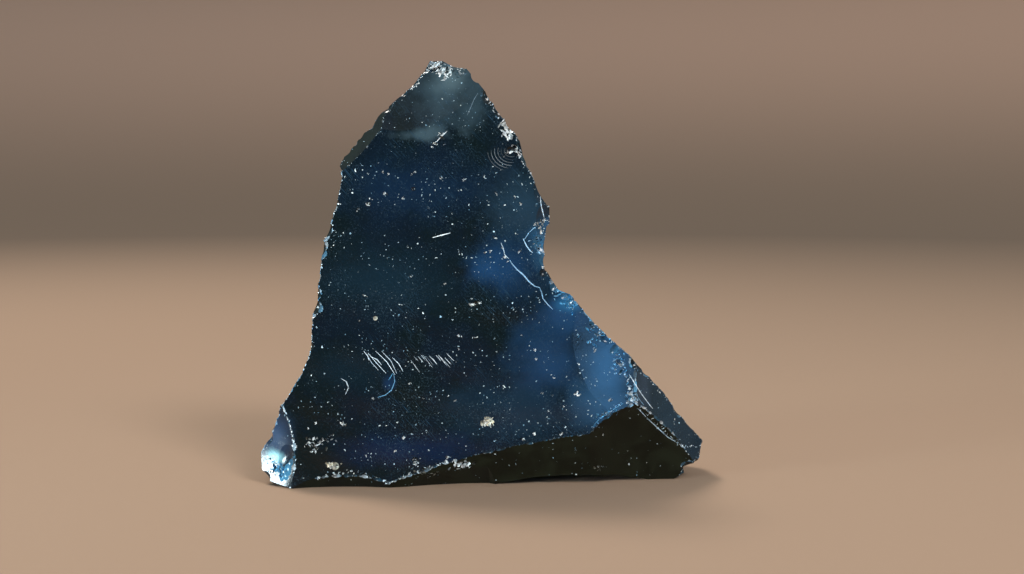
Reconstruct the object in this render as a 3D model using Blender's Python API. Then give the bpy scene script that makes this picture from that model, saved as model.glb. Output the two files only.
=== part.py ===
"""Obsidian chunk: a hand-sized lump of volcanic glass, one solid.

Frame: +X to the right across the broad face, +Y to the back, +Z up, metres.
The stone stands on its flat underside; the origin is below the middle of its box.

A broken lump of glass is bounded by flake scars.  Each scar is a shallow bowl with rings
round the point where the blow landed.  The stone is made the same way: a rough block is
cut by bowls, then its ridges are nicked by small chips and its faces are pitted.
"""

import bmesh
import bpy
import math
import random
from mathutils import Matrix, Vector
from mathutils.kdtree import KDTree

MM = 0.001

# Driving dimensions, in millimetres
WIDTH = 114.0            # toe to tip, across the broad face
HEIGHT = 108.0           # underside to peak
BACK_DEPTH = 58.0        # rough block behind the broad face, before the back is flaked off
FRONT_SPARE = 5.0        # rough block in front of the broad face
FACE_LEAN = 0.07         # the broad face leans back by this much for each unit of height
BACK_TAPER = 0.78        # the rough block narrows to this share of its outline at its back
BACK_DROP = 0.95         # and its top comes down to this share of its height
TAPER_FOOT_X = -5.0      # x of the line that the block narrows towards
HEART = (-6.0, 20.0, 34.0)   # a point well inside the stone

RIPPLE_LENGTH = 8.4      # from one ring to the next on a scar
RIPPLE_HEIGHT = 0.13     # half the height of a ring
RINGS_PER_RIPPLE = 3
BOWL_FACET = 7.5         # width of a facet at a bowl's rim
BOWL_TWIST = math.radians(3.0)
FLARE_RUN = 12.0         # past its reach a bowl turns up and leaves the stone
FLARE_SLOPE = 1.1
BOWL_WALL = 60.0         # how far a bowl's cutter reaches out of the stone
LEAST_BOWL_STEPS = 12    # facets round a bowl
MOST_BOWL_STEPS = 44

SHORTEST_EDGE = 0.2      # shorter edges are closed up after the cuts

CHIP_SEED = 11
RIDGE_ANGLE = math.radians(24.0)   # an edge bent by more than this is a ridge
RIDGE_STEP = 0.8
CHIP_SPACING = 2.2
CHIP_LEAN = (0.15, 0.85)           # how a chip faces, between the two faces of its ridge
CHIP_FLATNESS = (0.75, 1.0)
CHIP_CLEAR = 1.0                   # chips keep this far off the ground
BACK_RIDGES_FROM = 14.0            # the larger chips sit on ridges at least this far back

# Outline of the stone seen from the front, clockwise from the left shoulder of the peak:
# (x, z, how far the edge lies behind the broad face).
PEAK = [(-18.2, 101.5, 2), (-15.0, 105.3, 3), (-13.5, 108.0, 3.5), (-10.4, 108.0, 3.5),
        (-7.3, 106.4, 3.5), (-4.2, 105.8, 3)]
RIGHT_EDGE = [(1.0, 99.5, 0.5), (4.0, 94.7, 0), (7.1, 92.4, 0), (9.3, 88.6, 0), (10.3, 84.7, 0),
              (12.7, 81.5, 0), (15.3, 76.2, 0), (17.0, 71.6, 0), (17.1, 66.5, 0), (16.3, 57.5, 0),
              (16.4, 55.0, 0)]
SLOPE = [(17.6, 52.6, 0), (19.4, 50.0, 0), (23.6, 48.4, 0), (27.0, 46.4, 0), (33.6, 38.2, 0), (39.5, 30.9, 2),
         (47.6, 22.7, 7), (54.0, 16.5, 11)]
TIP = [(57.7, 9.4, 13), (56.6, 7.8, 13), (56.4, 5.0, 11), (52.6, 3.2, 8), (53.2, 1.5, 7), (51.0, 0.0, 4)]
TOE = [(-48.0, 0.0, 1), (-54.1, 1.1, 4), (-56.7, 3.8, 5), (-57.1, 8.3, 5.5), (-54.4, 15.2, 3.5),
       (-50.9, 21.7, 0), (-46.8, 29.8, 0)]
LEFT_EDGE = [(-44.5, 33.3, 0), (-43.4, 43.9, 0), (-41.9, 47.3, 0), (-42.2, 50.4, 0),
             (-41.3, 56.7, 0), (-40.8, 62.7, 0), (-38.6, 67.2, 0), (-35.9, 78.7, 0)]
LEFT_BARB = [(-35.8, 80.4, 1), (-37.6, 83.4, 3), (-34.8, 87.0, 3.5), (-28.0, 90.7, 3.5), (-26.7, 93.5, 3)]
OUTLINE = PEAK + RIGHT_EDGE + SLOPE + TIP + TOE + LEFT_EDGE + LEFT_BARB


def face(x, z, behind=0.0):
    """A point on the broad face, or that far behind it, in millimetres."""
    return (x, FACE_LEAN * z + behind, z)


# Flake scars.  Each bowl passes through three points and is hollowed between them by the
# given depth; its rings spread from the strike point.  (points, hollow, strike, reach)
FRONT_SCARS = {
    "broad_face": ((face(-54, 8), face(46, 22), face(-10, 104)), 1.6, face(9, 85), 125),
    "top_flake": ((face(-1, 99.5), face(-24.8, 89), face(-8, 107, 3.2)), 1.3, face(-11, 107, 3), 40),
    "left_barb_flake": ((face(-20.3, 97.8), face(-33.8, 80.3), face(-30.6, 89.2, 3.3)), 1.2,
                        face(-33, 88, 4), 22),
    "shoulder_flake": ((face(17.7, 45.1), face(29.4, 17.5), face(39, 30, 2.4)), 0.9,
                       face(27, 44, 0.5), 48),
    "middle_flake": ((face(4, 62), face(17.7, 45.1), face(16, 69, 1.2)), 0.7, face(16.5, 64, 1), 48),
    "right_flake": ((face(35.3, 34), face(36.9, 23), face(56.5, 11, 13)), 0.8, face(44, 26, 6), 42),
    "keel_flake": ((face(-9, 8.2), face(27.5, 15.0), face(12, 1, 5.6)), 0.6, face(24, 2, 7), 62),
    "nose_flake": ((face(27, 15.1), face(37.7, 22.9), face(48, 10.6, 8.4)), 1.3, face(46, 2, 8), 40),
    "toe_flake": ((face(-50.2, 21.4), face(-48.0, 3.0), face(-56.4, 8, 5.3)), 0.9, face(-56, 6, 6), 24),
    "heel_flake_left": ((face(-40.5, 1.6, 1), face(-27.5, 1.6, 1), face(-34, 4.2)), 0.8, face(-34, 0, 3), 14),
    "heel_flake_right": ((face(-22, 0.6, 0.5), face(-8, 4, 2.5), face(-15.5, 4.6)), 0.9, face(-15, 0, 3), 17),
}
# Half-moon scars struck off the edges of the broad face: (one end, other end, point behind), hollow.
SIDE_SCARS = {
    "left_upper_side": ((face(-35.8, 78.8), face(-40.7, 62.8), (-34.5, 15, 69)), 0.5),
    "left_middle_side": ((face(-40.9, 62.6), face(-43.7, 44), (-37.5, 17, 52)), 0.5),
    "left_lower_side": ((face(-43.7, 44), face(-44.5, 33.4), (-39, 17, 36)), 0.5),
    "toe_side": ((face(-44.5, 33.2), face(-51, 21.3), (-42, 17, 24)), 0.4),
    "toe_end": ((face(-51.2, 21.2, 0.4), face(-57.2, 8.2, 5.5), (-49.5, 22, 10)), 0.5),
    "peak_side": ((face(-4, 105.8, 3), face(9.2, 88.8), (-1, 18, 93)), 0.5),
    "right_upper_side": ((face(10.4, 84.6), face(17, 71.6), (9, 17, 76)), 0.3),
    "right_middle_side": ((face(17.1, 66.5), face(16.6, 54.8), (12, 16, 60)), 0.5),
    "slope_top": ((face(21.6, 50.7), face(33.6, 38.3), (23, 16, 39)), 0.3),
    "slope_middle": ((face(33.7, 38.1), face(47.7, 22.7, 7), (36, 22, 24)), 0.4),
    "slope_end": ((face(47.7, 22.6, 7), face(57.8, 9.5, 13), (46, 27, 10)), 0.3),
}
BACK_SCARS = {
    "upper_left_back": (((-11, 18, 107), (-37, 15, 60), (-8, 37, 48)), 3.0, (-42, 12, 46), 110),
    "right_scoop": (((13, 14, 78), (48, 28, 20), (-6, 30, 74)), 19.0, (36, 16, 36), 66),
    "lower_left_back": (((-54, 17, 12), (-32, 42, 0), (-8, 45, 33)), 3.0, (-50, 22, 2), 90),
    "lower_right_back": (((57, 25, 10), (32, 45, 0), (10, 45, 35)), 2.5, (50, 32, 2), 90),
    "base_back": (((-22, 43, 0), (20, 44, 0), (-3, 44, 34)), 2.0, (2, 46, 2), 70),
    "tip_end": (((58.5, 14, 7), (53.5, 9, 0), (46, 33, 3)), 0.8, (50, 26, 8), 24),
    "toe_back_end": (((-58.6, 8, 6), (-54.6, 5, 0), (-45, 30, 3)), 0.9, (-50, 20, 10), 26),
    "peak_back": (((-18, 19, 100), (-2, 18, 100), (-9, 27, 86)), 1.2, (-10, 13, 109), 32),
}
UNDERSIDE_HOLLOWS = [((-4.0, 27.0), 18.0, 1.5), ((23.0, 7.0), 20.0, 2.2)]   # (x, y), radius, depth
HOLLOW_REACH = 1.6               # a hollow's cutter is this much wider than the hollow

# Small chips on ridges: (how many, smallest radius, largest radius)
RIM_CHIPS = (42, 1.5, 3.2)
RIDGE_CHIPS = (30, 2.0, 5.5)
PEAK_CHIPS = (7, 1.2, 2.6)
PEAK_ZONE = ((-16.0, -4.0), (8.0, 14.0), 107.0)    # x range, y range, z of the struck peak
CHIP_DEPTH = (0.16, 0.34)        # share of its radius that a chip bites in

PIT_DEPTH = 0.75                 # share of its radius that a pit's cutter sinks below PIT_PLANE
PIT_PLANE = 1.0                  # the hollowed face lies about this far behind the flat one
# Pits on the broad face, where a stony grain fell out: (x, z, radius)
PITS = [(1.3, 16.8, 1.9), (-1.6, 46.6, 1.1), (-37.4, 5.6, 1.5), (-17.1, 6.9, 1.4), (7.0, 85.3, 1.5),
        (-41.5, 10.8, 1.5)]


def clear_scene():
    for obj in list(bpy.data.objects):
        bpy.data.objects.remove(obj, do_unlink=True)


def new_collection(name):
    group = bpy.data.collections.new(name)
    bpy.context.scene.collection.children.link(group)
    return group


def make_obsidian():
    """Near-black glass with a cold blue cast."""
    glass = bpy.data.materials.new("obsidian")
    glass.use_nodes = True
    shader = glass.node_tree.nodes["Principled BSDF"]
    shader.inputs["Base Color"].default_value = (0.006, 0.014, 0.026, 1.0)
    shader.inputs["Roughness"].default_value = 0.16
    shader.inputs["Metallic"].default_value = 0.0
    glass.diffuse_color = (0.02, 0.04, 0.07, 1.0)
    return glass


def narrowing(behind):
    """Share of the outline's width and of its height that is left this far behind the face."""
    share = behind / BACK_DEPTH
    return 1.0 - (1.0 - BACK_TAPER) * share, 1.0 - (1.0 - BACK_DROP) * share


def rough_block(parts, glass):
    """The outline of the broad face, drawn out backwards and narrowed towards the back."""
    curve = bpy.data.curves.new("outline", "CURVE")
    curve.dimensions = "2D"
    curve.fill_mode = "BOTH"
    curve.extrude = 0.5 * (FRONT_SPARE + BACK_DEPTH) * MM
    spline = curve.splines.new("POLY")
    spline.points.add(len(OUTLINE) - 1)
    for point, (x, z, behind) in zip(spline.points, OUTLINE):
        across, up = narrowing(behind)
        point.co = ((TAPER_FOOT_X + (x - TAPER_FOOT_X) / across) * MM, z / up * MM, 0.0, 1.0)
    spline.use_cyclic_u = True
    flat = bpy.data.objects.new("outline", curve)
    flat.rotation_euler = (math.radians(90.0), 0.0, 0.0)
    parts.objects.link(flat)
    depsgraph = bpy.context.evaluated_depsgraph_get()
    mesh = bpy.data.meshes.new_from_object(flat.evaluated_get(depsgraph))
    mesh.transform(Matrix.Rotation(math.radians(90.0), 4, "X"))
    bpy.data.objects.remove(flat, do_unlink=True)

    block = bmesh.new()
    block.from_mesh(mesh)
    bmesh.ops.remove_doubles(block, verts=block.verts, dist=0.01 * MM)
    middle = 0.5 * (BACK_DEPTH - FRONT_SPARE) * MM
    for vert in block.verts:
        behind = vert.co.y + middle
        across, up = narrowing(behind / MM)
        vert.co.x = TAPER_FOOT_X * MM + (vert.co.x - TAPER_FOOT_X * MM) * across
        vert.co.z *= up
        vert.co.y = behind + FACE_LEAN * vert.co.z
    bmesh.ops.recalc_face_normals(block, faces=block.faces)
    block.to_mesh(mesh)
    block.free()

    stone = bpy.data.objects.new("obsidian_chunk", mesh)
    mesh.name = "obsidian_chunk"
    mesh.materials.clear()
    mesh.materials.append(glass)
    parts.objects.link(stone)
    return stone


def bowl_through(points, hollow):
    """Centre and radius of the ball whose surface makes the bowl."""
    a, b, c = (Vector(point) for point in points)
    normal = (b - a).cross(c - a).normalized()
    if normal.dot(a - Vector(HEART)) < 0.0:
        normal.negate()
    ab = b - a
    ac = c - a
    cross = ab.cross(ac)
    middle = a + (ac.length_squared * cross.cross(ab) + ab.length_squared * ac.cross(cross)) / (
        2.0 * cross.length_squared)
    across = (a - middle).length
    radius = (across ** 2 + hollow ** 2) / (2.0 * hollow)
    return middle + normal * (radius - hollow), radius


def bowl_profile(radius, reach):
    """Half section of a scar's cutter: the ringed bowl, its rim, and a lid out of the stone."""
    step = RIPPLE_LENGTH / RINGS_PER_RIPPLE
    widest = min(reach / radius, math.radians(80.0))
    count = max(4, math.ceil(widest * radius / step))
    profile = [(0.0, 0.0)]
    for i in range(1, count + 1):
        angle = widest * i / count
        run = angle * radius
        ripple = RIPPLE_HEIGHT * math.sin(2.0 * math.pi * run / RIPPLE_LENGTH)
        reached = radius + ripple * min(1.0, run / RIPPLE_LENGTH)
        profile.append((reached * math.sin(angle), radius - reached * math.cos(angle)))
    rim, height = profile[-1]
    rim += FLARE_RUN
    height += FLARE_RUN * FLARE_SLOPE
    profile.append((rim, height))
    profile.append((rim, height + BOWL_WALL))
    profile.append((0.0, height + BOWL_WALL))
    return profile


def turned(name, profile, steps, group):
    """A closed body turned about its own Z axis from a half section."""
    mesh = bpy.data.meshes.new(name)
    shape = bmesh.new()
    verts = [shape.verts.new((r * MM, 0.0, h * MM)) for r, h in profile]
    for lower, upper in zip(verts, verts[1:]):
        shape.edges.new((lower, upper))
    bmesh.ops.spin(shape, geom=shape.verts[:] + shape.edges[:], axis=(0, 0, 1), cent=(0, 0, 0),
                   angle=2.0 * math.pi, steps=steps, use_merge=True)
    bmesh.ops.remove_doubles(shape, verts=shape.verts, dist=0.001 * MM)
    bmesh.ops.recalc_face_normals(shape, faces=shape.faces)
    shape.to_mesh(mesh)
    shape.free()
    body = bpy.data.objects.new(name, mesh)
    group.objects.link(body)
    as_cutter(body)
    return body


def as_cutter(body):
    body.hide_render = True
    body.display_type = "WIRE"


def scar_cutter(name, points, hollow, strike, reach, group):
    """One flake scar: a bowl through three points, ringed about its strike point."""
    centre, radius = bowl_through(points, hollow)
    outward = (centre - Vector(strike)).normalized()
    touch = centre - outward * radius
    steps = round(2.0 * math.pi * reach / BOWL_FACET)
    steps = min(MOST_BOWL_STEPS, max(LEAST_BOWL_STEPS, steps))
    body = turned(name, bowl_profile(radius, reach), steps, group)
    aim = outward.to_track_quat("Z", "Y").to_matrix().to_4x4() @ Matrix.Rotation(BOWL_TWIST, 4, "Z")
    body.matrix_world = Matrix.Translation(touch * MM) @ aim
    return body


def bake(stone):
    """Put the evaluated mesh back in the object and drop its modifiers."""
    bpy.context.view_layer.update()
    depsgraph = bpy.context.evaluated_depsgraph_get()
    mesh = bpy.data.meshes.new_from_object(stone.evaluated_get(depsgraph))
    stone.modifiers.clear()
    stone.data = mesh
    return mesh


def carve(stone, cutters):
    """Cut the stone by each cutter in turn.

    Bowls this shallow leave slivers on which the exact solver can lose the stone, so the
    manifold solver does the cutting.  Stone and cutters are all closed, as it needs.
    """
    for cutter in cutters:
        cut = stone.modifiers.new(cutter.name, "BOOLEAN")
        cut.operation = "DIFFERENCE"
        cut.solver = "MANIFOLD"
        cut.object = cutter
        bake(stone)


def ridge_points(mesh):
    """Points along the stone's convex ridges, each with the outward directions beside it."""
    shape = bmesh.new()
    shape.from_mesh(mesh)
    found = []
    for edge in shape.edges:
        if not edge.is_manifold or not edge.is_convex:
            continue
        if edge.calc_face_angle() < RIDGE_ANGLE:
            continue
        start, end = (vert.co.copy() for vert in edge.verts)
        count = max(1, round((end - start).length / (RIDGE_STEP * MM)))
        sides = [side.normal.copy() for side in edge.link_faces]
        for i in range(count):
            found.append((start.lerp(end, (i + 0.5) / count), sides))
    shape.free()
    tree = KDTree(len(found))
    for i, (point, _) in enumerate(found):
        tree.insert(point, i)
    tree.balance()
    return found, tree


def chip_cutter(name, spot, outward, radius, bite, dice, group):
    """A small flattened ball set into a ridge."""
    shape = bmesh.new()
    bmesh.ops.create_icosphere(shape, subdivisions=2, radius=radius)
    turn = Matrix.Rotation(dice.uniform(0.0, math.pi), 4, outward)
    squash = Matrix.Scale(dice.uniform(*CHIP_FLATNESS), 4, Vector((0.0, 0.0, 1.0)))
    shape.transform(turn @ outward.to_track_quat("Y", "Z").to_matrix().to_4x4() @ squash)
    mesh = bpy.data.meshes.new(name)
    shape.to_mesh(mesh)
    shape.free()
    body = bpy.data.objects.new(name, mesh)
    body.location = spot + outward * (radius - bite)
    group.objects.link(body)
    as_cutter(body)
    return body


def rim_probe(dice):
    """A place near the outline of the broad face."""
    i = dice.randrange(len(OUTLINE))
    start = Vector(face(*OUTLINE[i - 1]))
    end = Vector(face(*OUTLINE[i]))
    return start.lerp(end, dice.random()) * MM


def back_probe(dice):
    """A place anywhere in the back of the stone."""
    x = dice.uniform(-0.5, 0.5) * WIDTH
    y = dice.uniform(BACK_RIDGES_FROM, BACK_DEPTH)
    z = dice.uniform(0.0, 1.0) * HEIGHT
    return Vector((x, y, z)) * MM


def peak_probe(dice):
    across, deep, height = PEAK_ZONE
    return Vector((dice.uniform(*across), dice.uniform(*deep), height)) * MM


def edge_chips(stone, group):
    """Nicks along the ridges, closest together round the broad face and at the peak."""
    dice = random.Random(CHIP_SEED)
    found, tree = ridge_points(stone.data)
    taken = []
    cutters = []
    plans = [(rim_probe, RIM_CHIPS), (back_probe, RIDGE_CHIPS), (peak_probe, PEAK_CHIPS)]
    for probe, (count, smallest, largest) in plans:
        tries = 0
        made = 0
        while made < count and tries < 12 * count:
            tries += 1
            spot, index, _ = tree.find(probe(dice))
            radius = dice.uniform(smallest, largest) * MM
            lean = dice.uniform(*CHIP_LEAN)
            depth = dice.uniform(*CHIP_DEPTH) * radius
            if spot.z < CHIP_CLEAR * MM:
                continue
            if any((spot - other).length < CHIP_SPACING * MM for other in taken):
                continue
            taken.append(spot)
            first, second = found[index][1]
            outward = (first * lean + second * (1.0 - lean)).normalized()
            name = f"chip_{len(cutters):03d}"
            cutters.append(chip_cutter(name, spot, outward, radius, depth, dice, group))
            made += 1
    return cutters


def pit_cutters(group):
    """Shallow round pits on the broad face."""
    dice = random.Random(CHIP_SEED + 1)
    outward = Vector((0.0, -1.0, FACE_LEAN)).normalized()
    bodies = []
    for number, (x, z, radius) in enumerate(PITS):
        spot = Vector(face(x, z, PIT_PLANE)) * MM
        name = f"pit_{number:02d}"
        bodies.append(chip_cutter(name, spot, outward, radius * MM, PIT_DEPTH * radius * MM, dice, group))
    return bodies


def underside_cutters(group):
    """Low hollows that lift the middle and the front of the underside off the ground."""
    bodies = []
    for number, ((x, y), across, depth) in enumerate(UNDERSIDE_HOLLOWS):
        points = ((x + across, y, 0.0), (x, y + across, 0.0), (x - across, y, 0.0))
        name = f"underside_hollow_{number}"
        bodies.append(scar_cutter(name, points, depth, (x, y, 0.0), HOLLOW_REACH * across, group))
    return bodies


def collapse_short_edges(shape, shortest):
    """Close up slivers, but only where the surface stays closed round the edge."""
    while True:
        spent = set()
        picked = []
        for edge in sorted(shape.edges, key=lambda edge: edge.calc_length()):
            if edge.calc_length() >= shortest:
                break
            beside = [{link.other_vert(vert) for link in vert.link_edges} for vert in edge.verts]
            around = beside[0] | beside[1]
            if len(beside[0] & beside[1]) != 2 or around & spent:
                continue
            spent |= around
            picked.append(edge)
        if not picked:
            return
        bmesh.ops.collapse(shape, edges=picked)


def keep_largest_body(mesh):
    """Drop crumbs that the cuts have parted from the stone."""
    shape = bmesh.new()
    shape.from_mesh(mesh)
    unseen = set(shape.verts)
    bodies = []
    while unseen:
        front = [unseen.pop()]
        body = set(front)
        while front:
            vert = front.pop()
            for edge in vert.link_edges:
                other = edge.other_vert(vert)
                if other in unseen:
                    unseen.remove(other)
                    body.add(other)
                    front.append(other)
        bodies.append(body)
    bodies.sort(key=len)
    for crumb in bodies[:-1]:
        bmesh.ops.delete(shape, geom=list(crumb), context="VERTS")
    bmesh.ops.triangulate(shape, faces=shape.faces)
    collapse_short_edges(shape, SHORTEST_EDGE * MM)
    shape.to_mesh(mesh)
    shape.free()


def stand_on_origin(stone, cutters):
    """Move the stone so that the origin is below the middle of its box."""
    corners = [vert.co for vert in stone.data.vertices]
    low = Vector(min(corner[axis] for corner in corners) for axis in range(3))
    high = Vector(max(corner[axis] for corner in corners) for axis in range(3))
    shift = Vector((-0.5 * (low.x + high.x), -0.5 * (low.y + high.y), -low.z))
    stone.data.transform(Matrix.Translation(shift))
    for cutter in cutters:
        cutter.matrix_world = Matrix.Translation(shift) @ cutter.matrix_world


def build():
    clear_scene()
    parts = new_collection("obsidian_chunk_parts")
    tools = new_collection("obsidian_chunk_cutters")
    stone = rough_block(parts, make_obsidian())

    scars = underside_cutters(tools)
    for name, (points, hollow, strike, reach) in BACK_SCARS.items():
        scars.append(scar_cutter(name, points, hollow, strike, reach, tools))
    for name, (points, hollow) in SIDE_SCARS.items():
        start, end = Vector(points[0]), Vector(points[1])
        scars.append(scar_cutter(name, points, hollow, (start + end) / 2, (start - end).length / 2, tools))
    for name, (points, hollow, strike, reach) in FRONT_SCARS.items():
        scars.append(scar_cutter(name, points, hollow, strike, reach, tools))
    carve(stone, scars)

    chips = edge_chips(stone, tools)
    chips += pit_cutters(tools)
    carve(stone, chips)

    keep_largest_body(stone.data)
    stand_on_origin(stone, scars + chips)
    stone.data.shade_smooth()
    stone.data.set_sharp_from_angle(angle=RIDGE_ANGLE)


build()
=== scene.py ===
# %% [markdown]
# # A chunk of obsidian, from block to finished stone
#
# Obsidian is volcanic glass.  It has no grain, so every blow takes off a smooth, curved flake
# and leaves a shallow bowl behind.  This lesson makes one hand-sized chunk the same way.  A
# rough block is cut by bowls, its ridges are nicked by small chips, and a node material adds
# the pale specks and the crushed spots, and paints into the colour the cold blue reflections,
# the warm reflection of the floor and the blue glints that the glass shows in its room.
#
# The stone's plain solid already exists as a imported model.  It is loaded first, because it
# fixes where the stone stands and how large it may be.

# %% Load the frame
import itertools
import math
import random

import bmesh
import bpy
import numpy as np
from mathutils import Matrix, Vector
from mathutils.bvhtree import BVHTree
from mathutils.kdtree import KDTree


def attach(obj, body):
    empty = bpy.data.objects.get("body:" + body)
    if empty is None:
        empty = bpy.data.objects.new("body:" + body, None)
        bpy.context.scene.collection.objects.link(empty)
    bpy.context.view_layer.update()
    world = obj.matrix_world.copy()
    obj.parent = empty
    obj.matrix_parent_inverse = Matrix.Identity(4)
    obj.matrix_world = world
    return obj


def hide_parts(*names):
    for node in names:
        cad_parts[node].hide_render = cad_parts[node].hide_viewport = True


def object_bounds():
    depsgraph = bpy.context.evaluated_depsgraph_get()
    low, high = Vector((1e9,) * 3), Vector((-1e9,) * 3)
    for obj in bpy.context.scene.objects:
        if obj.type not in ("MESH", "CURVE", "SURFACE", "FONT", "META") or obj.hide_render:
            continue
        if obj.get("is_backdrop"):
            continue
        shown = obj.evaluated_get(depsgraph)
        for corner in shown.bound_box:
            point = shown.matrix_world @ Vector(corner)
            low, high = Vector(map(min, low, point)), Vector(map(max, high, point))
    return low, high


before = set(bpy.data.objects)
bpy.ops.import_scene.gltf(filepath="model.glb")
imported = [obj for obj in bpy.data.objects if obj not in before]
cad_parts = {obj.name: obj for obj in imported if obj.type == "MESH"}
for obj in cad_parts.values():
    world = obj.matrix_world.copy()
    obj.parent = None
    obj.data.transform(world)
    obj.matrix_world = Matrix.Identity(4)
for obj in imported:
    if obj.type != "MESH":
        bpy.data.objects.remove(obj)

MM = 0.001
cad_low, cad_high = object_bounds()
print("packed stone:", [round(size / MM, 1) for size in cad_high - cad_low], "mm")

# %% [markdown]
# ## The plan of the stone
#
# The stone is planned in millimetres on its broad front face.  A point on that face has an x
# to the right and a z upwards, and the face leans back a little, so its depth follows from z.
# The plan's zero is not under the middle of the stone, so one shift moves the finished mesh
# into the frame.

# %% Plan: units, lean and shift
PLAN_TO_FRAME = Vector((-0.212, -23.12, 0.0)) * MM
FACE_LEAN = 0.07
HEART = Vector((-6.0, 20.0, 34.0))
BACK_DEPTH = 58.0
FRONT_SPARE = 5.0
BACK_TAPER = 0.78
BACK_DROP = 0.95
TAPER_FOOT_X = -5.0


def face(x, z, behind=0.0):
    """A point on the broad face, or that far behind it, in millimetres."""
    return (x, FACE_LEAN * z + behind, z)


print("a point half way up the face:", face(0.0, 54.0))

# %% Plan: the outline, clockwise from the left shoulder of the peak, as (x, z, behind)
PEAK = [(-18.2, 101.5, 2), (-15.0, 105.3, 3), (-13.5, 108.0, 3.5), (-10.4, 108.0, 3.5),
        (-7.3, 106.4, 3.5), (-4.2, 105.8, 3)]
RIGHT_EDGE = [(1.0, 99.5, 0.5), (4.0, 94.7, 0), (7.1, 92.4, 0), (9.3, 88.6, 0), (10.3, 84.7, 0),
              (12.7, 81.5, 0), (15.3, 76.2, 0), (17.0, 71.6, 0), (17.1, 66.5, 0), (16.3, 57.5, 0),
              (16.4, 55.0, 0)]
SLOPE = [(17.6, 52.6, 0), (19.4, 50.0, 0), (23.6, 48.4, 0), (27.0, 46.4, 0), (33.6, 38.2, 0),
         (39.5, 30.9, 2), (47.6, 22.7, 7), (54.0, 16.5, 11)]
TIP = [(57.7, 9.4, 13), (56.6, 7.8, 13), (56.4, 5.0, 11), (52.6, 3.2, 8), (53.2, 1.5, 7),
       (51.0, 0.0, 4)]
TOE = [(-48.0, 0.0, 1), (-54.1, 1.1, 4), (-56.7, 3.8, 5), (-57.1, 8.3, 5.5), (-54.4, 15.2, 3.5),
       (-50.9, 21.7, 0), (-46.8, 29.8, 0)]
LEFT_EDGE = [(-44.5, 33.3, 0), (-43.4, 43.9, 0), (-41.9, 47.3, 0), (-42.2, 50.4, 0),
             (-41.3, 56.7, 0), (-40.8, 62.7, 0), (-38.6, 67.2, 0), (-35.9, 78.7, 0)]
LEFT_BARB = [(-35.8, 80.4, 1), (-37.6, 83.4, 3), (-34.8, 87.0, 3.5), (-28.0, 90.7, 3.5),
             (-26.7, 93.5, 3)]
OUTLINE = PEAK + RIGHT_EDGE + SLOPE + TIP + TOE + LEFT_EDGE + LEFT_BARB
print("outline:", len(OUTLINE), "corners")

# %% [markdown]
# ## The rough block
#
# Before it is flaked, the stone is a block with the right outline.  The outline could be
# extruded in a mesh, but a filled 2D curve with an extrude does the same in one step and
# keeps the list of corners short.  The block then narrows towards its back, as broken lumps
# do, and leans with the broad face.


# %% Rough block
WELD = 0.01


def placed(name, data):
    """A new object in the scene that shows this data."""
    thing = bpy.data.objects.new(name, data)
    bpy.context.scene.collection.objects.link(thing)
    return thing


def narrowing(behind):
    """Share of the outline's width and of its height that is left this far behind the face."""
    share = behind / BACK_DEPTH
    return 1.0 - (1.0 - BACK_TAPER) * share, 1.0 - (1.0 - BACK_DROP) * share


def curve_to_mesh(curve, name):
    """The closed mesh that a curve makes."""
    carrier = placed(name, curve)
    depsgraph = bpy.context.evaluated_depsgraph_get()
    mesh = bpy.data.meshes.new_from_object(carrier.evaluated_get(depsgraph))
    bpy.data.objects.remove(carrier, do_unlink=True)
    return mesh


def rough_block():
    """The outline as a solid block that narrows and leans towards its back."""
    curve = bpy.data.curves.new("outline", "CURVE")
    curve.dimensions = "2D"
    curve.fill_mode = "BOTH"
    curve.extrude = 0.5 * (FRONT_SPARE + BACK_DEPTH) * MM
    spline = curve.splines.new("POLY")
    spline.points.add(len(OUTLINE) - 1)
    for point, (x, z, behind) in zip(spline.points, OUTLINE):
        across, up = narrowing(behind)
        point.co = ((TAPER_FOOT_X + (x - TAPER_FOOT_X) / across) * MM, z / up * MM, 0.0, 1.0)
    spline.use_cyclic_u = True
    mesh = curve_to_mesh(curve, "outline")
    mesh.transform(Matrix.Rotation(math.radians(90.0), 4, "X"))

    shape = bmesh.new()
    shape.from_mesh(mesh)
    bmesh.ops.remove_doubles(shape, verts=shape.verts, dist=WELD * MM)
    middle = 0.5 * (BACK_DEPTH - FRONT_SPARE) * MM
    for vert in shape.verts:
        behind = vert.co.y + middle
        across, up = narrowing(behind / MM)
        vert.co.x = TAPER_FOOT_X * MM + (vert.co.x - TAPER_FOOT_X * MM) * across
        vert.co.z *= up
        vert.co.y = behind + FACE_LEAN * vert.co.z
    bmesh.ops.recalc_face_normals(shape, faces=shape.faces)
    shape.to_mesh(mesh)
    shape.free()
    return placed("glass_chunk", mesh)


stone = rough_block()
print("rough block:", len(stone.data.polygons), "faces")

# %% [markdown]
# ## Flake scars
#
# A flake leaves a very shallow bowl.  The easiest bowl to plan is part of a ball: three points
# that its surface runs through, and how far it hollows between them.  Rings spread from the
# point where the blow landed, so the cutter is turned about that point, with a vertex on every
# ring.  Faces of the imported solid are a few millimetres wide.  Here they are under one, because
# polished glass shows every flat.

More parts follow.
